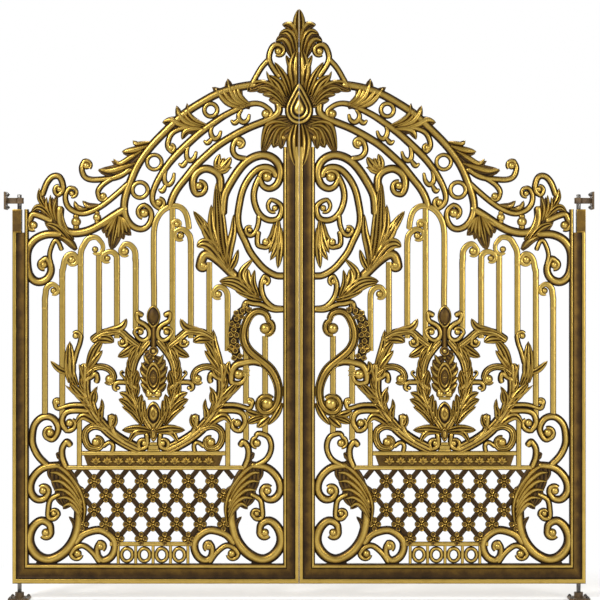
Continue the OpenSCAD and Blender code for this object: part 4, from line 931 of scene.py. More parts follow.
wreathLobes = [[54, [[604, 1687], [710, 1706], [747, 1766]]], [70, [[560, 1634], [622, 1639], [668, 1614]]], [66,
    [[500, 1454], [546, 1568], [596, 1628]]], [50, [[502, 1442], [546, 1506], [596, 1566]]], [44, [[567, 1134],
    [525, 1256], [564, 1340]]], [44, [[585, 1118], [582, 1178], [600, 1222]]], [64, [[510, 1221], [440, 1300], [386,
    1362]]], [56, [[584, 1082], [476, 1155], [422, 1097]]], [32, [[486, 1344], [465, 1422], [446, 1481]]], [32,
    [[514, 1260], [444, 1278], [356, 1349]]], [38, [[842, 1094], [782, 1170], [714, 1212]]], [58, [[832, 1140],
    [752, 1230], [694, 1258]]], [56, [[806, 1198], [756, 1274], [698, 1300]]], [58, [[783, 1322], [790, 1384], [815,
    1442]]], [62, [[850, 1104], [825, 1204], [842, 1292]]], [36, [[862, 1112], [854, 1184], [860, 1256]]], [64,
    [[815, 1605], [749, 1552], [688, 1522]]], [40, [[820, 1600], [775, 1550], [763, 1490]]], [48, [[841, 1610],
    [818, 1550], [798, 1486]]], [66, [[898, 1056], [808, 1068], [714, 1062]]], [46, [[890, 1051], [802, 1050], [754,
    975]]]]
wreathInnerLobe = [[48, [[478, 1446], [524, 1578], [540, 1698]]]]
wreathOuterLobes = [[80, [[1436, 1360], [1442, 1483], [1441, 1624]]], [46, [[1444, 1419], [1509, 1446], [1564,
    1499]]], [60, [[1396, 1340], [1437, 1434], [1424, 1548]]]]
wreathOuterScroll = [[34, [], [[1416, 1485], [1396, 1560], [1380, 1602], [1372, 1639]], [1404, 1656, 22]]]
wreathLeaflets = [[34, [[800, 1236], [758, 1296], [744, 1366]]], [34, [[790, 1296], [750, 1356], [742, 1426]]], [32,
    [[783, 1352], [748, 1412], [752, 1478]]], [32, [[784, 1412], [756, 1470], [768, 1530]]], [30, [[800, 1260],
    [818, 1316], [812, 1376]]], [28, [[794, 1330], [820, 1384], [816, 1440]]], [34, [[560, 1146], [592, 1200], [588,
    1262]]], [34, [[520, 1204], [552, 1262], [546, 1326]]], [32, [[540, 1170], [492, 1216], [458, 1236]]], [32,
    [[500, 1290], [462, 1340], [452, 1392]]], [34, [[640, 1062], [676, 1112], [676, 1166]]], [32, [[620, 1076],
    [572, 1112], [536, 1120]]], [30, [[492, 1380], [530, 1426], [544, 1478]]]]
wreathSettings = {"relief": 22.0, "flange": 10.0, "leafRelief": 25.0, "axis": 915.0, "curl": 5.0}


def buildWreath():
    look = wreathSettings
    axis, relief, curl = look["axis"], look["leafRelief"], look["curl"]
    casting = Casting()
    for row in wreathScrolls + turned(wreathScrolls, axis) + wreathOuterScroll:
        section = flutedBand if row[0] > 44 else ridgeBand
        scroll(casting, row, section(look["relief"], look["flange"]), steps=4)
    lobes(casting, wreathLobes + turned(wreathLobes, axis) + wreathInnerLobe + wreathOuterLobes, relief, 0.5, 4,
          curl=curl)
    lobes(casting, wreathLeaflets + turned(wreathLeaflets, axis), relief + 1, 0.8, 3, curl=curl, steps=4, flutes=2)
    bothLeaves("Wreath", casting, ["wreath"])


buildWreath()

# Medallion: bud, collar, lens shaped boss in a bed of leaves, moulded pedestal and drop
medallionLobes = [[62, [[910, 1524], [869, 1490], [838, 1502]]], [56, [[910, 1486], [865, 1436], [826, 1464]]], [48,
    [[905, 1438], [865, 1388], [839, 1422]]], [40, [[907, 1402], [872, 1354], [834, 1398]]], [56, [[902, 1354],
    [877, 1320], [832, 1353]]], [84, [[915, 1558], [952, 1521], [972, 1514]]], [76, [[925, 1498], [970, 1450], [993,
    1469]]], [44, [[925, 1443], [961, 1393], [988, 1427]]], [44, [[925, 1400], [958, 1350], [996, 1398]]], [62,
    [[917, 1352], [947, 1309], [986, 1345]]]]
# A lens is its height over the ground, half its width and half its height
medallionSettings = {"axis": 915.0, "leafRelief": 24.0, "boss": (1395, 47, 98), "bud": (1777, 43, 72),
                     "drop": (1166, 46, 78), "dropLeaf": (1035, 23, 46)}


def lens(x, z, half, tall):
    out, count = [], 28
    for i in range(count):
        a = 2 * pi * i / count
        out.append((x + half * copysign(abs(sin(a)) ** 1.25, sin(a)), z + tall * cos(a)))
    return out


def lensPlate(casting, x, shape, levels):
    plate(casting, lens(x, *shape), (x, shape[0]), levels)


def buildMedallion():
    look = medallionSettings
    x = look["axis"]
    casting = Casting()
    # the low lobes behind are darkened: the glaze, and painted shade under the leaves that lie over them
    lobes(casting, medallionLobes, 11, gold=0.45)
    for side in (-1, 1):
        for z, reach, climb in ((1508, 62, 46), (1462, 78, 40), (1420, 86, 36), (1378, 84, 30), (1342, 82, 26)):
            lobe(casting, [34, [[x + side * 26, z - 30], [x + side * reach * 0.7, z - 8],
                                [x + side * reach, z + climb * 0.7]]], look["leafRelief"] + 1, flutes=1)
    # long boss: rim, groove, second rim and a flower between beads
    lensPlate(casting, x, look["boss"],
          [(1.0, 10, 0.03), (1.0, 22, 0.4), (0.97, 27, 0.85), (0.91, 30, 1.0), (0.82, 27, 0.8), (0.75, 20, 0.05),
           (0.7, 20, 0.1), (0.66, 26, 0.8), (0.6, 29, 1.0), (0.53, 26, 0.6), (0.47, 21, 0.15),
           (0.2, 22, 0.42)])
    for dx, dz, r in ((0, 0, 8), (0, 17, 6), (0, -17, 6), (12, 0, 6), (-12, 0, 6), (0, 33, 4.5), (0, -33, 4.5)):
        ball(casting, x + dx, look["boss"][0] + dz, r, 28, gold=0.9)
    # bud on its collar
    lensPlate(casting, x, look["bud"],
          [(1.0, 10, 0.02), (1.0, 20, 0.1), (0.95, 27, 0.7), (0.88, 29, 0.95), (0.82, 27, 0.5), (0.78, 23, 0.05),
           (0.6, 27, 0.22), (0.3, 31, 0.3)])
    for dx, dz in ((-19, 2), (0, 8), (19, 2), (-10, -12), (10, -12)):
        ball(casting, x + dx, 1726 + dz, 9, 32, gold=0.85)
    rail(casting, x - 20, 1585, x + 20, 1712, [(-1.0, 9, 0.0), (-0.85, 12, 0.05), (-0.5, 19, 0.3), (0.0, 24, 0.6),
                                               (0.5, 19, 0.3), (0.85, 12, 0.05), (1.0, 9, 0.0)], steps=3)
    plate(casting, circle(x, 1560, 31, 20), (x, 1560), [(1.0, 14, 0.02), (0.97, 20, 0.4), (0.85, 24, 0.85),
                                                        (0.7, 22, 0.2)])
    ball(casting, x, 1560, 20, 31, around=18, high=10)
    ball(casting, x, 1518, 13, 31)
    # pedestal
    for side in (-1, 1):
        ball(casting, x + side * 27, 1290, 27, 27, around=16, high=10)
        ball(casting, x + side * 34, 1308, 18, 24)
    for z, half, tall, deep in ((1262, 36, 9, 25), (1282, 44, 7, 20)):
        plate(casting, box(x - half, z - tall, x + half, z + tall), (x, z),
              [(1.0, deep - 9, 0.02), (0.98, deep - 3, 0.5), (0.9, deep, 0.95)])
    # drop: a nested leaf, a knop, a small leaf and a foot on the shelf
    lensPlate(casting, x, look["drop"],
          [(1.0, 9, 0.02), (1.0, 19, 0.2), (0.94, 25, 0.8), (0.86, 27, 1.0), (0.79, 24, 0.6), (0.73, 17, 0.04),
           (0.62, 18, 0.1), (0.5, 24, 0.7), (0.36, 28, 0.9), (0.22, 27, 0.4), (0.1, 28, 0.8)])
    ball(casting, x, 1092, 17, 26, around=16)
    lensPlate(casting, x, look["dropLeaf"],
          [(1.0, 9, 0.02), (0.9, 18, 0.7), (0.75, 21, 0.9), (0.6, 18, 0.1), (0.35, 22, 0.85)])
    for z, half, tall, deep in ((978, 25, 9, 24), (955, 33, 13, 26), (936, 40, 6, 22)):
        plate(casting, box(x - half, z - tall, x + half, z + tall), (x, z),
              [(1.0, deep - 9, 0.02), (0.97, deep - 3, 0.5), (0.88, deep, 0.95)])
    bothLeaves("Medallion", casting, ["medallion"])


buildMedallion()
print("wreath and medallion cast")

# Finial: crowning leaves, a drop shaped cartouche and a hanging leaf, split by the meeting line
finialScrolls = [[40, [], [[128, 3288], [180, 3367], [188, 3420], [165, 3476], [131, 3487], [101, 3469]], [130,
    3446, 26]], [38, [], [[194, 3390], [235, 3345], [268, 3290], [297, 3236]], []]]
finialLobes = [[84, [[0, 3518], [0, 3626], [0, 3712]]], [70, [[10, 3470], [39, 3592], [107, 3616]]], [82, [[20,
    3430], [62, 3550], [128, 3548]]], [70, [[40, 3408], [86, 3522], [148, 3510]]], [108, [[16, 3216], [24, 3346],
    [12, 3451]]], [54, [[31, 3192], [42, 3318], [84, 3424]]], [49, [[52, 3168], [93, 3284], [155, 3379]]], [56,
    [[82, 3158], [125, 3244], [198, 3296]]], [26, [[135, 3194], [182, 3264], [206, 3322]]], [73, [[62, 3140], [184,
    3230], [328, 3192]]], [58, [[70, 3132], [160, 3202], [264, 3188]]], [54, [[70, 3124], [150, 3170], [232,
    3172]]], [72, [[76, 3100], [136, 3138], [192, 3140]]], [104, [[44, 3014], [159, 2971], [233, 2794]]], [92, [[34,
    2978], [119, 2923], [164, 2836]]], [76, [[30, 2968], [104, 2914], [114, 2828]]], [162, [[0, 2992], [0, 2848],
    [4, 2704]]]]
crownLobes = [[36, [[6, 3500], [22, 3580], [62, 3620], [106, 3606]]], [54, [[20, 3440], [40, 3530], [76, 3568],
    [124, 3552]]], [40, [[44, 3415], [66, 3490], [100, 3522], [146, 3506]]], [26, [[10, 3440], [22, 3520], [44,
    3578]]]]
finialFlutes = [[30, [[91, 3134], [118, 3192], [184, 3240], [252, 3256], [312, 3232], [326, 3194]]], [28, [[98,
    3120], [140, 3174], [194, 3208], [236, 3214], [270, 3194]]], [26, [[101, 3107], [146, 3153], [186, 3174], [228,
    3170]]], [24, [[105, 3093], [142, 3126], [188, 3134]]], [34, [[70, 2985], [136, 3003], [198, 2985], [224, 2926],
    [240, 2824]]], [30, [[84, 2978], [140, 2978], [182, 2944], [204, 2890], [220, 2838]]], [32, [[84, 2968], [126,
    2955], [151, 2914], [162, 2868], [154, 2848]]], [30, [[76, 2962], [105, 2938], [119, 2900], [117, 2850]]]]
finialSettings = {"relief": 31.0, "scrollRelief": 24.0, "curl": 6.0, "cartouche": 82.0}


def cutAtMeetingLine(casting, edge):
    work = bmesh.new()
    layer = work.verts.layers.float.new("gild")
    points = [work.verts.new(p) for p in casting.points]
    for vert, value in zip(points, casting.gild):
        vert[layer] = value
    for face in casting.faces:
        try:
            work.faces.new([points[i] for i in face])
        except ValueError:
            pass
    cut = bmesh.ops.bisect_plane(work, geom=work.verts[:] + work.edges[:] + work.faces[:], dist=0.0001,
                                 plane_co=(edge, 0, 0), plane_no=(-1, 0, 0), clear_outer=True)
    rim = [e for e in cut["geom_cut"] if isinstance(e, bmesh.types.BMEdge)]
    bmesh.ops.edgenet_fill(work, edges=rim)
    casting.points = [tuple(v.co) for v in work.verts]
    casting.gild = [v[layer] for v in work.verts]
    work.verts.index_update()
    casting.faces = [tuple(v.index for v in f.verts) for f in work.faces]
    work.free()


def buildFinial():
    look = finialSettings
    casting = Casting()
    for row in finialScrolls:
        scroll(casting, row, ridgeBand(look["scrollRelief"], 11))
    last = len(finialLobes) - 1
    for i, row in enumerate(finialLobes):
        if i in (1, 2, 3) or 8 < i < last:
            # the low lobes behind are darkened: the glaze, and painted shade under the leaves that lie over them
            lobe(casting, row, 17, gold=0.34 if i < 4 else 0.56, steps=8)
        elif i == last:
            lobe(casting, row, look["relief"] + 5, curl=3, steps=10, flutes=5)
        else:
            lobe(casting, row, look["relief"] + (4 if i in (0, 4) else 0), lift=0.5 * (i % 4), curl=look["curl"],
                 steps=8, flutes=3 if i in (0, 4) else None)
    for i, row in enumerate(finialFlutes):
        lobe(casting, row, look["relief"] - 3, curl=look["curl"], steps=6, lift=0.6 * (i % 4), flutes=1)
    for row in crownLobes:
        lobe(casting, row, look["relief"] - 2, curl=look["curl"], steps=7, flutes=2 if row[0] > 50 else 1)
    # curls beside the hanging leaf
    ball(casting, 98, 2902, 19, 24, around=16)
    lobe(casting, [34, [[60, 2965], [92, 2950], [112, 2915], [104, 2884]]], 24, flutes=1)
    r = look["cartouche"]
    drop = []
    for i in range(48):
        a = 2 * pi * i / 48
        lift = max(0.0, cos(a)) ** 3.2
        drop.append((r * sin(a) * (1 - 0.42 * lift), 3073 + r * 1.06 * cos(a) + 82 * lift))
    plate(casting, drop, (0, 3082),
          [(1.1, 14, 0.0), (1.1, 26, 0.0), (1.04, 32, 0.02), (1.0, 36, 0.3), (0.96, 41, 0.85), (0.9, 43, 1.0),
           (0.84, 41, 0.85), (0.8, 35, 0.06), (0.74, 33, 0.0), (0.7, 38, 0.6), (0.63, 42, 1.0), (0.56, 40, 0.75),
           (0.52, 33, 0.03), (0.44, 32, 0.0), (0.38, 36, 0.5), (0.32, 41, 0.95), (0.14, 44, 1.0)])
    cutAtMeetingLine(casting, leafPlace["meetingGap"] / 2)
    bothLeaves("Finial", casting, ["finial"])


buildFinial()
print("finial cast")

# Shelf over the lattice: two rails, end posts and a thin panel
shelfSettings = {"low": 827.0, "high": 917.0, "rails": ((345, 827.0, 1462), (464, 917.0, 1366)),
                 "posts": ((432, 465, 1112), (1365, 1398, 1138)), "bar": 30.0, "relief": 17.0, "flowerPitch": 70.7,
                 "flowerMiddle": 922.0, "flowerHeight": 873.0, "flowerSize": 1.32,
                 "petal": ((15, 0), (7, 5.5), (-2, 7.5), (-10, 4), (-10, -4), (-2, -7.5), (7, -5.5))}


def buildShelf():
    look = shelfSettings
    half = look["bar"] / 2
    casting = Casting()
    section = barBand(look["relief"])
    for start, z, end in look["rails"]:
        rail(casting, start, z - half, end, z + half, section, steps=6, upright=False)
    for start, end, head in look["posts"]:
        rail(casting, start, look["low"], end, head, barBand(16), steps=3)
    plate(casting, [(505, look["low"]), (1327, look["low"]), (1358, look["high"]), (474, look["high"])],
          (915, 872), [(1.0, 6, 0.12), (0.998, 8, 0.32)])
    bothLeaves("Shelf", casting, ["shelf"])


buildShelf()


# A new tree of Geometry Nodes with named inputs: whole numbers for counts, the rest are lengths and shares
def newTree(name, inputs):
    tree = bpy.data.node_groups.new(name, "GeometryNodeTree")
    tree.interface.new_socket("Geometry", in_out="INPUT", socket_type="NodeSocketGeometry")
    for label, value in inputs.items():
        kind = "NodeSocketInt" if isinstance(value, int) else "NodeSocketFloat"
        tree.interface.new_socket(label, in_out="INPUT", socket_type=kind).default_value = value
    tree.interface.new_socket("Geometry", in_out="OUTPUT", socket_type="NodeSocketGeometry")
    return tree, addNode(tree, "NodeGroupInput").outputs, addNode(tree, "NodeGroupOutput")


# Geometry Nodes sow a motif on points. Each point carries how far the motif leans in the plane of
# the leaf ("lean"), its size ("size") and how far it stands off the middle of the casting (its y)
def sowingTree(motif, finish):
    tree, entry, leave = newTree("sow" + motif.name, {"Motif Size": 1.0, "Random Lean": 0.0, "Seed": 7})
    model = addNode(tree, "GeometryNodeObjectInfo", {"Object": motif}).outputs["Geometry"]
    lean = addNode(tree, "GeometryNodeInputNamedAttribute", {"Name": "lean"}).outputs["Attribute"]
    size = addNode(tree, "GeometryNodeInputNamedAttribute", {"Name": "size"}).outputs["Attribute"]
    spread = addNode(tree, "ShaderNodeMath", {0: entry["Random Lean"], 1: -1.0}, operation="MULTIPLY")
    stray = addNode(tree, "FunctionNodeRandomValue", {2: spread, 3: entry["Random Lean"], "Seed": entry["Seed"]})
    turn = addNode(tree, "ShaderNodeMath", {0: lean, 1: stray.outputs[1]}, operation="ADD")
    spin = addNode(tree, "ShaderNodeCombineXYZ", {"Y": turn})
    scaled = addNode(tree, "ShaderNodeMath", {0: size, 1: entry["Motif Size"]}, operation="MULTIPLY")
    sown = addNode(tree, "GeometryNodeInstanceOnPoints",
                   {"Points": entry["Geometry"], "Instance": model, "Rotation": spin, "Scale": scaled})
    real = addNode(tree, "GeometryNodeRealizeInstances", {"Geometry": sown})
    feed(tree, leave, {0: addNode(tree, "GeometryNodeSetMaterial", {"Geometry": real, "Material": finish})})
    return tree


# Runs a tree on a mesh and gives back the plain mesh that it makes
def grown(name, base, tree, settings):
    holder = linked(name, base)
    nodes = holder.modifiers.new("grow", "NODES")
    nodes.node_group = tree
    for item in tree.interface.items_tree:
        if item.in_out == "INPUT" and item.name in settings:
            nodes[item.identifier] = settings[item.name]
    made = bpy.data.meshes.new_from_object(holder.evaluated_get(bpy.context.evaluated_depsgraph_get()))
    holder.modifiers.remove(nodes)
    bpy.data.objects.remove(holder)
    made.name = name
    return made


def motifFrom(casting, name, finish=goldFinish):
    points = [(x / 1000, y / 1000, z / 1000) for x, y, z in casting.points]
    return meshFrom(name, points, casting.faces, casting.gild, finish)


# Points with a lean and a size, given for the right leaf and turned over for the left one
def seedMesh(name, seeds, way):
    mesh = bpy.data.meshes.new(name)
    mesh.from_pydata([((leafPlace["meetingLine"] + way * x) / 1000, y / 1000, z / 1000)
                      for x, y, z, lean, size in seeds], [], [])
    mesh.attributes.new("lean", "FLOAT", "POINT").data.foreach_set("value", [way * s[3] for s in seeds])
    mesh.attributes.new("size", "FLOAT", "POINT").data.foreach_set("value", [s[4] for s in seeds])
    return mesh


def sowBothLeaves(name, motif, seeds):
    tree = sowingTree(motif, goldFinish)
    for leaf, way in (("right", 1), ("left", -1)):
        piece = linked(leaf + name, grown(leaf + name, seedMesh(name + "Seeds", seeds, way), tree, {}))
        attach(piece, leaf + "_leaf")
        countTriangles(piece)
    bpy.data.objects.remove(motif)
    print(name, "sown,", triangleCount["right" + name], "triangles a leaf")


# Lattice: the opening's outline is filled with slanting flat bars, and each crossing gets a rosette
latticeSettings = {"middle": 918.0, "foot": 380.0, "pitchAcross": 74.0, "pitchUp": 90.5, "barWidth": 31.0,
                   "barRelief": 10.0, "barCuts": 4, "petal": 18.5, "petalReach": 24.0, "rosetteRelief": 19.0,
                   "opening": [(372, 829), (440, 700), (443, 470), (418, 400), (480, 400), (560, 425), (640, 372),
                               (655, 338), (1180, 338), (1195, 377), (1270, 425), (1350, 405), (1412, 395),
                               (1390, 470), (1392, 700), (1457, 829)]}


def latticeTree(motif, finish):
    tree, entry, leave = newTree("lattice", {"Middle": 0.0, "Foot": 0.0, "Pitch Across": 0.0, "Pitch Up": 0.0,
                                             "Bar Width": 0.0, "Bar Relief": 0.0, "Bar Cuts": 0})
    cell = addNode(tree, "ShaderNodeCombineXYZ", {"X": entry["Pitch Across"], "Z": entry["Pitch Up"]})
    corner = addNode(tree, "ShaderNodeCombineXYZ", {"X": entry["Middle"], "Z": entry["Foot"]})
    # a point is outside the opening when a ray from in front of it meets nothing
    place = addNode(tree, "GeometryNodeInputPosition")
    before = addNode(tree, "ShaderNodeVectorMath", {0: place, 1: (0, -1, 0)}, operation="ADD")
    ray = addNode(tree, "GeometryNodeRaycast", {"Target Geometry": entry["Geometry"], "Source Position": before,
                                                "Ray Direction": (0, 1, 0), "Ray Length": 2.0})
    outside = addNode(tree, "FunctionNodeBooleanMath", {0: ray.outputs["Is Hit"]}, operation="NOT")
    # bars of both slopes start from the same row of points below the opening
    across = addNode(tree, "ShaderNodeVectorMath", {0: cell, 1: (2, 0, 0)}, operation="MULTIPLY")
    first = addNode(tree, "ShaderNodeVectorMath", {0: cell, 1: (-19, 0, -2), 2: corner}, operation="MULTIPLY_ADD")
    starts = addNode(tree, "GeometryNodeMeshLine", {"Count": 20, "Offset": across, "Start Location": first},
                     mode="OFFSET")
    both = addNode(tree, "GeometryNodeJoinGeometry")
    for way in (1, -1):
        slope = addNode(tree, "ShaderNodeVectorMath", {0: cell, 1: (way, 0, 1)}, operation="MULTIPLY")
        line = addNode(tree, "GeometryNodeMeshLine", {"Count": 10, "Offset": slope}, mode="OFFSET")
        feed(tree, both, {0: addNode(tree, "GeometryNodeInstanceOnPoints", {"Points": starts, "Instance": line})})
    real = addNode(tree, "GeometryNodeRealizeInstances", {"Geometry": both})
    fine = addNode(tree, "GeometryNodeSubdivideMesh", {"Mesh": real, "Level": entry["Bar Cuts"]})
    kept = addNode(tree, "GeometryNodeDeleteGeometry", {"Geometry": fine, "Selection": outside})
    paths = addNode(tree, "GeometryNodeMeshToCurve", {0: kept})
    upright = addNode(tree, "GeometryNodeSetCurveNormal", {0: paths}, mode="Z_UP")
    # section: a square with its corners cut, a little gold on the faces and dark at the edges as painted shade
    square = addNode(tree, "GeometryNodeCurvePrimitiveQuadrilateral", {"Width": 2.0, "Height": 2.0})
    cut = addNode(tree, "GeometryNodeFilletCurve", {"Curve": square, "Count": 1, "Radius": 0.2}, mode="POLY")
    spot = addNode(tree, "ShaderNodeSeparateXYZ", {0: addNode(tree, "GeometryNodeInputPosition")})
    depth = addNode(tree, "ShaderNodeMath", {0: spot.outputs["X"]}, operation="ABSOLUTE")
    shine = addNode(tree, "ShaderNodeMapRange",
                    {"Value": depth, "From Min": 0.8, "From Max": 1.0, "To Min": 0.0, "To Max": 0.2})
    shadedSection = addNode(tree, "GeometryNodeStoreNamedAttribute", {"Geometry": cut, "Name": "gild", "Value": shine},
                     data_type="FLOAT", domain="POINT")
    half = addNode(tree, "ShaderNodeMath", {0: entry["Bar Width"], 1: 0.5}, operation="MULTIPLY")
    scale = addNode(tree, "ShaderNodeCombineXYZ", {"X": entry["Bar Relief"], "Y": half, "Z": 1.0})
    shaped = addNode(tree, "GeometryNodeTransform", {"Geometry": shadedSection, "Scale": scale})
    swept = addNode(tree, "GeometryNodeCurveToMesh", {"Curve": upright, "Profile Curve": shaped, "Fill Caps": True})
    # crossings: every other point of a grid
    spread = addNode(tree, "ShaderNodeVectorMath", {0: cell, 1: (12, 0, 8)}, operation="MULTIPLY")
    sides = addNode(tree, "ShaderNodeSeparateXYZ", {0: spread}).outputs
    grid = addNode(tree, "GeometryNodeMeshGrid",
                   {"Size X": sides["X"], "Size Y": sides["Z"], "Vertices X": 13, "Vertices Y": 9})
    order = addNode(tree, "GeometryNodeInputIndex")
    odd = addNode(tree, "ShaderNodeMath", {0: order, 1: 2.0}, operation="MODULO")
    even = addNode(tree, "ShaderNodeMath", {0: 1.0, 1: odd}, operation="SUBTRACT")
    thinned = addNode(tree, "GeometryNodeDeleteGeometry", {"Geometry": grid, "Selection": even})
    centre = addNode(tree, "ShaderNodeVectorMath", {0: cell, 1: (0, 0, 2), 2: corner}, operation="MULTIPLY_ADD")
    stood = addNode(tree, "GeometryNodeTransform",
                    {"Geometry": thinned, "Rotation": (pi / 2, 0, 0), "Translation": centre})
    crossings = addNode(tree, "GeometryNodeDeleteGeometry", {"Geometry": stood, "Selection": outside})
    model = addNode(tree, "GeometryNodeObjectInfo", {"Object": motif}).outputs["Geometry"]
    sown = addNode(tree, "GeometryNodeInstanceOnPoints", {"Points": crossings, "Instance": model})
    together = addNode(tree, "GeometryNodeJoinGeometry")
    feed(tree, together, {0: swept})
    feed(tree, together, {0: sown})
    last = addNode(tree, "GeometryNodeRealizeInstances", {"Geometry": together})
    feed(tree, leave, {0: addNode(tree, "GeometryNodeSetMaterial", {"Geometry": last, "Material": finish})})
    return tree


def buildLattice():
    look = latticeSettings
    flower = Casting()
    r, deep = look["petal"], look["rosetteRelief"]
    for a in (0, 90, 180, 270):
        way, over = bearing(a)
        reach = look["petalReach"] + (2.5 if a % 180 == 0 else 0)
        rim = [way * (reach + r * 1.05 * cos(b)) + over * r * sin(b) * (1 + 0.12 * cos(b))
               for b in (2 * pi * k / 12 for k in range(12))]
        plate(flower, [(q.x, q.y) for q in rim], tuple(way * (reach + 2)),
              [(1.0, 8, 0.0), (0.94, deep - 5, 0.35), (0.74, deep, 0.95), (0.46, deep - 4, 0.3)])
    plate(flower, circle(0, 0, 17, 8), (0, 0), [(1.0, 12, 0.0), (0.6, deep - 7, 0.0)])
    ball(flower, 0, 0, 10.5, deep + 4, around=8, high=6)
    motif = motifFrom(flower, "rosette")
    tree = latticeTree(motif, goldFinish)
    sizes = {"Foot": look["foot"] / 1000, "Pitch Across": look["pitchAcross"] / 1000,
             "Pitch Up": look["pitchUp"] / 1000, "Bar Width": look["barWidth"] / 1000,
             "Bar Relief": look["barRelief"] / 1000, "Bar Cuts": look["barCuts"]}
    for leaf, way in (("right", 1), ("left", -1)):
        place = lambda x: (leafPlace["meetingLine"] + way * x) / 1000
        opening = bpy.data.meshes.new(leaf + "Opening")
        opening.from_pydata([(place(x), 0, z / 1000) for x, z in look["opening"]], [],
                            [tuple(range(len(look["opening"])))])
        sizes["Middle"] = place(look["middle"])
        piece = linked(leaf + "Lattice", grown(leaf + "Lattice", opening, tree, sizes))
        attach(piece, leaf + "_leaf")
        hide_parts(leaf + "_lattice")
        countTriangles(piece)
    bpy.data.objects.remove(motif)
    print("lattice grown,", triangleCount["rightLattice"], "triangles a leaf")


buildLattice()


# Palmettes in a row along the shelf's panel: five pointed leaves on a small seed
def buildFlowers():
    look = shelfSettings
    flower = Casting()
    for a, reach in ((-84, 15), (-44, 15), (0, 16), (44, 15), (84, 15)):
        way, over = bearing(a)
        rim = [way * (reach + along) + over * out for along, out in look["petal"]]
        plate(flower, [(q.x, q.y - 7) for q in rim], (way.x * reach, way.y * reach - 7),
              [(1.0, 7, 0.1), (0.92, 13, 0.8), (0.5, 17, 1.0)])
    plate(flower, circle(0, -9, 11, 10), (0, -9), [(1.0, 7, 0.1), (0.85, 16, 0.9), (0.45, 17, 0.35)])
    seeds = [(look["flowerMiddle"] + k * look["flowerPitch"], 0, look["flowerHeight"], 0.0, look["flowerSize"])
             for k in range(-5, 6)]
    sowBothLeaves("ShelfFlowers", motifFrom(flower, "palmette"), seeds)


# Scales in staggered rows on the back of the S scroll: a gold rim round a dark hollow
def buildScales():
    look = sScrollSettings
    path = smooth(scaleSpine, 10)
    lengths = [0.0]
    for a, b in zip(path, path[1:]):
        lengths.append(lengths[-1] + (b - a).length)
    normals = normalsOf(path)
    scale = Casting()
    plate(scale, [(1.22 * x, -1.2 * z) for x, z in look["scaleRim"]], (0, 1),
          [(1.0, 14, 0.0), (0.95, 21, 0.9), (0.8, 24, 1.0), (0.62, 22, 0.85), (0.5, 18, 0.1), (0.3, 19, 0.3)])
    motif = motifFrom(scale, "scale")
    seeds = []
    total, across = lengths[-1], look["scaleAcross"]
    for row in range(int(total / look["scalePitch"]) + 1):
        at = row * look["scalePitch"] + 4
        if at > total:
            break
        i = max(k for k in range(len(lengths)) if lengths[k] <= at)
        heading = path[min(i + 1, len(path) - 1)] - path[max(i - 1, 0)]
        half = look["scaleBand"] / 2 - 11 * abs(2 * at / total - 1)
        for side in ((-0.5, 0.5) if row % 2 == 0 else (-1.0, 0.0, 1.0)):
            if abs(side) * across + 2 < half:
                q = path[i] + normals[i] * side * across
                seeds.append((q.x, 0, q.y, atan2(heading.x, heading.y), 1.0))
    sowBothLeaves("SScrollScales", motif, seeds)


# Small beads down the middle of the plume's tall leaf
def buildBeads():
    look = plumeSettings
    bead = Casting()
    ball(bead, 0, 0, look["beadRadius"], 29, around=8, high=6)
    path = smooth(plumeLobes[0][1], 12)
    seeds, run = [], 0.0
    for a, b in zip(path[4:-3], path[5:-2]):
        run += (b - a).length
        if run >= look["beadSpacing"]:
            run = 0.0
            seeds.append((b.x, 0, b.y, 0.0, 1.0))
    sowBothLeaves("PlumeBeads", motifFrom(bead, "bead"), seeds)


buildFlowers()
buildScales()
buildBeads()


# Solid turned from a profile of (radius, height, gold) about an upright axis
def lathe(casting, x, rows, sides=32):
    rings = [[casting.put(x + r * cos(2 * pi * i / sides), r * sin(2 * pi * i / sides), z, gild)
              for i in range(sides)] for r, z, gild in rows]
    casting.loops(rings)


# Pivot block at the head of the hinge stile, and the two pins that the leaf turns on
pivotSettings = {"axis": 1758.0, "radius": 13.5, "topPinFoot": 2451.0, "topPinHead": 2545.0, "footPinHead": 100.0,
                 "footPinFoot": 18.0, "blockInner": 1743.5, "blockDepth": 28.0}


def buildPivots():
    look = pivotSettings
    low, high, out = frameSettings["stileTop"], frameSettings["blockTop"], leafPlace["leafOuter"]
    inner, deep = look["blockInner"], look["blockDepth"]
    casting = Casting()
    plate(casting, [(inner, low - 1), (out, low - 1), (out, high - 3), (out - 3, high), (inner + 3, high),
                    (inner, high - 3)], ((inner + out) / 2, (low + high) / 2),
          [(1.0, deep - 3, 0.1), (0.985, deep - 1, 0.6), (0.94, deep, 0.7), (0.86, deep, 0.36)])
    bothLeaves("PivotBlock", casting, [])
    casting = Casting()
    r, foot, head = look["radius"], look["topPinFoot"], look["topPinHead"]
    lathe(casting, look["axis"], [(r - 1, foot - 1, 0), (r, foot + 1, 0), (r, foot + 30, 0), (r, head - 3, 0),
                                  (r - 0.8, head - 1.2, 0), (r - 3, head, 0)])
    foot, head = look["footPinFoot"], look["footPinHead"]
    lathe(casting, look["axis"], [(r - 3, foot, 0), (r - 0.8, foot + 1.2, 0), (r, foot + 3, 0), (r, head - 12, 0),
                                  (r, head + 1, 0)])
    bothLeaves("PivotPins", casting, ["pivot_pins"], steelFinish)


buildPivots()

# Hexagon bolts and washers that hold the floor bearings and the wall brackets
boltSettings = {"across": 19.0, "headHeight": 7.5, "washer": 24.0, "washerHeight": 2.0, "floorPitch": 100.0,
                "wallPitch": 80.0, "plate": 12.0, "wallFace": 80.0, "bracketHeight": 2505.0, "stud": 4.0}


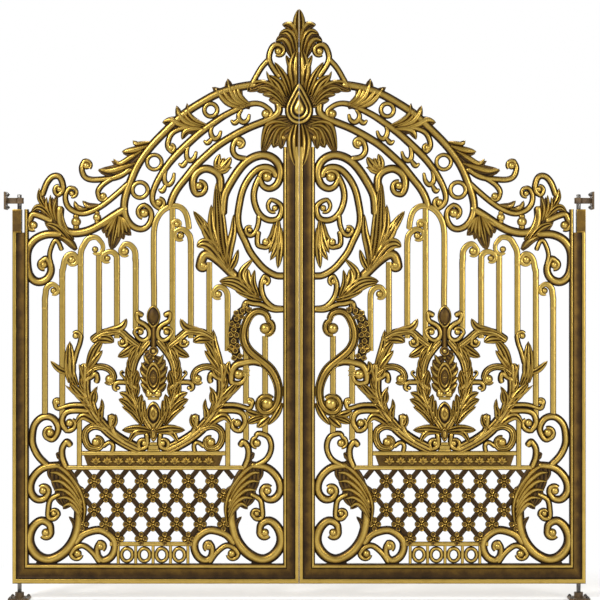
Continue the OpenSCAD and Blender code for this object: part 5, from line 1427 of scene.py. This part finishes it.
def buildBolts():
    look = boltSettings
    corner = look["across"] / 2 / cos(pi / 6)
    bolt = Casting()
    w, wh, hh = look["washer"] / 2, look["washerHeight"], look["headHeight"]
    lathe(bolt, 0, [(w, 0, 0), (w, wh * 0.7, 0), (w - 0.6, wh, 0)], 20)
    lathe(bolt, 0, [(corner, wh - 0.2, 0), (corner, wh + hh * 0.8, 0), (corner * 0.86, wh + hh, 0)], 6)
    lathe(bolt, 0, [(5, wh + hh - 0.2, 0), (5, wh + hh + look["stud"] - 1, 0), (4.2, wh + hh + look["stud"], 0)], 12)
    motif = motifFrom(bolt, "bolt", steelFinish)
    tree = sowingTree(motif, steelFinish)
    half, drop = look["floorPitch"] / 2, look["wallPitch"] / 2
    axis, signs = pivotSettings["axis"], [(a, b) for a in (-1, 1) for b in (-1, 1)]
    floorSeeds = [(axis + x * half, y * half, look["plate"], 0.0, 1.0) for x, y in signs]
    wallSeeds = [(axis + look["wallFace"], y * drop, look["bracketHeight"] + z * drop, -pi / 2, 1.0)
                 for y, z in signs]
    for leaf, way in (("right", 1), ("left", -1)):
        made = grown(leaf + "Bolts", seedMesh("boltSeeds", floorSeeds + wallSeeds, way), tree, {})
        piece = linked(leaf + "Bolts", made)
        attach(piece, "bearings")
    bpy.data.objects.remove(motif)
    for node in ("left_floor_bearing", "right_floor_bearing", "left_wall_bracket", "right_wall_bracket"):
        mesh = bpy.data.objects[node].data
        mesh.materials.clear()
        mesh.materials.append(paintFinish)


buildBolts()
print("pivots and bearings fitted")

# Studio: pale floor, white surround, soft light from the front and above
studio = {"floor": "#f4f3f1", "floorShade": "#f1f0ee", "cameraDistance": 13.0, "lens": 124.0,
          "middle": (1.764, 1.881), "surround": 0.58,
          "lights": (("keyLight", (-3.2, -7.0, 6.5), 620.0, 3.2), ("fillLight", (7.5, -7.5, 3.5), 260.0, 3.5),
                     ("topLight", (1.8, 2.5, 7.5), 240.0, 3.0), ("backLight", (1.8, 9.0, 5.0), 260.0, 3.5))}


def buildStudio():
    look = studio
    across, up = look["middle"]
    material, tree, shader = newMaterial("matteStudioFloor")
    place = addNode(tree, "ShaderNodeTexCoord").outputs["Object"]
    cloud = addNode(tree, "ShaderNodeTexNoise", {"Vector": place, "Scale": 1.3, "Detail": 2.0})
    colour = addNode(tree, "ShaderNodeValToRGB", {"Fac": cloud}, [(0.0, look["floorShade"]), (1.0, look["floor"])])
    feed(tree, shader, {"Base Color": colour, "Roughness": 0.9, "Specular IOR Level": 0.1})
    # away from the gate the floor runs out into the white surround, for the camera only
    aside = addNode(tree, "ShaderNodeVectorMath", {0: place, 1: (0.45, 0.9, 0.0), 2: (-0.45 * across, 0.0, 0.0)},
                    operation="MULTIPLY_ADD")
    away = addNode(tree, "ShaderNodeVectorMath", {0: aside}, operation="LENGTH").outputs["Value"]
    fade = addNode(tree, "ShaderNodeMapRange",
                   {"Value": away, "From Min": 0.95, "From Max": 1.7, "To Min": 0.0, "To Max": 1.0},
                   interpolation_type="SMOOTHSTEP")
    ray = addNode(tree, "ShaderNodeLightPath").outputs["Is Camera Ray"]
    share = addNode(tree, "ShaderNodeMath", {0: fade, 1: ray}, operation="MULTIPLY")
    glow = addNode(tree, "ShaderNodeEmission", {"Color": (1, 1, 1, 1), "Strength": 1.0})
    mix = addNode(tree, "ShaderNodeMixShader", {0: share, 1: shader, 2: glow})
    feed(tree, tree.nodes["Material Output"], {"Surface": mix})
    mesh = bpy.data.meshes.new("floor")
    mesh.from_pydata([(-14, -16, 0), (18, -16, 0), (18, 16, 0), (-14, 16, 0)], [], [(0, 1, 2, 3)])
    mesh.materials.append(material)
    floor = linked("floor", mesh)

    world = bpy.data.worlds.new("studio")
    bpy.context.scene.world = world
    world.use_nodes = True
    tree = world.node_tree
    tree.nodes.clear()
    ray = addNode(tree, "ShaderNodeLightPath").outputs["Is Camera Ray"]
    place = addNode(tree, "ShaderNodeTexCoord").outputs["Generated"]
    height = addNode(tree, "ShaderNodeSeparateXYZ", {0: place}).outputs["Z"]
    dome = addNode(tree, "ShaderNodeMapRange",
                   {"Value": height, "From Min": -0.4, "From Max": 0.9, "To Min": 0.35, "To Max": 1.0})
    strength = addNode(tree, "ShaderNodeMath", {0: dome, 1: look["surround"]}, operation="MULTIPLY")
    soft = addNode(tree, "ShaderNodeBackground", {"Color": (1, 1, 1, 1), "Strength": strength})
    white = addNode(tree, "ShaderNodeBackground", {"Color": (1, 1, 1, 1), "Strength": 1.0})
    blend = addNode(tree, "ShaderNodeMixShader", {0: ray, 1: soft, 2: white})
    addNode(tree, "ShaderNodeOutputWorld", {"Surface": blend})

    middle = Vector((across, 0, up))
    for name, spot, power, size in look["lights"]:
        lamp = bpy.data.lights.new(name, "AREA")
        lamp.energy, lamp.shape, lamp.size = power, "DISK", size
        light = linked(name, lamp)
        light.location = spot
        light.rotation_euler = (middle - Vector(spot)).to_track_quat("-Z", "Y").to_euler()

    lens = bpy.data.cameras.new("camera")
    lens.lens, lens.sensor_width = look["lens"], 36.0
    camera = linked("camera", lens)
    camera.location = (across, -look["cameraDistance"], up)
    camera.rotation_euler = (pi / 2, 0, 0)
    bpy.context.scene.camera = camera
    bpy.context.scene.view_settings.view_transform = "Standard"


buildStudio()
print("studio set,", sum(triangleCount.values()), "triangles in the dressed pieces")
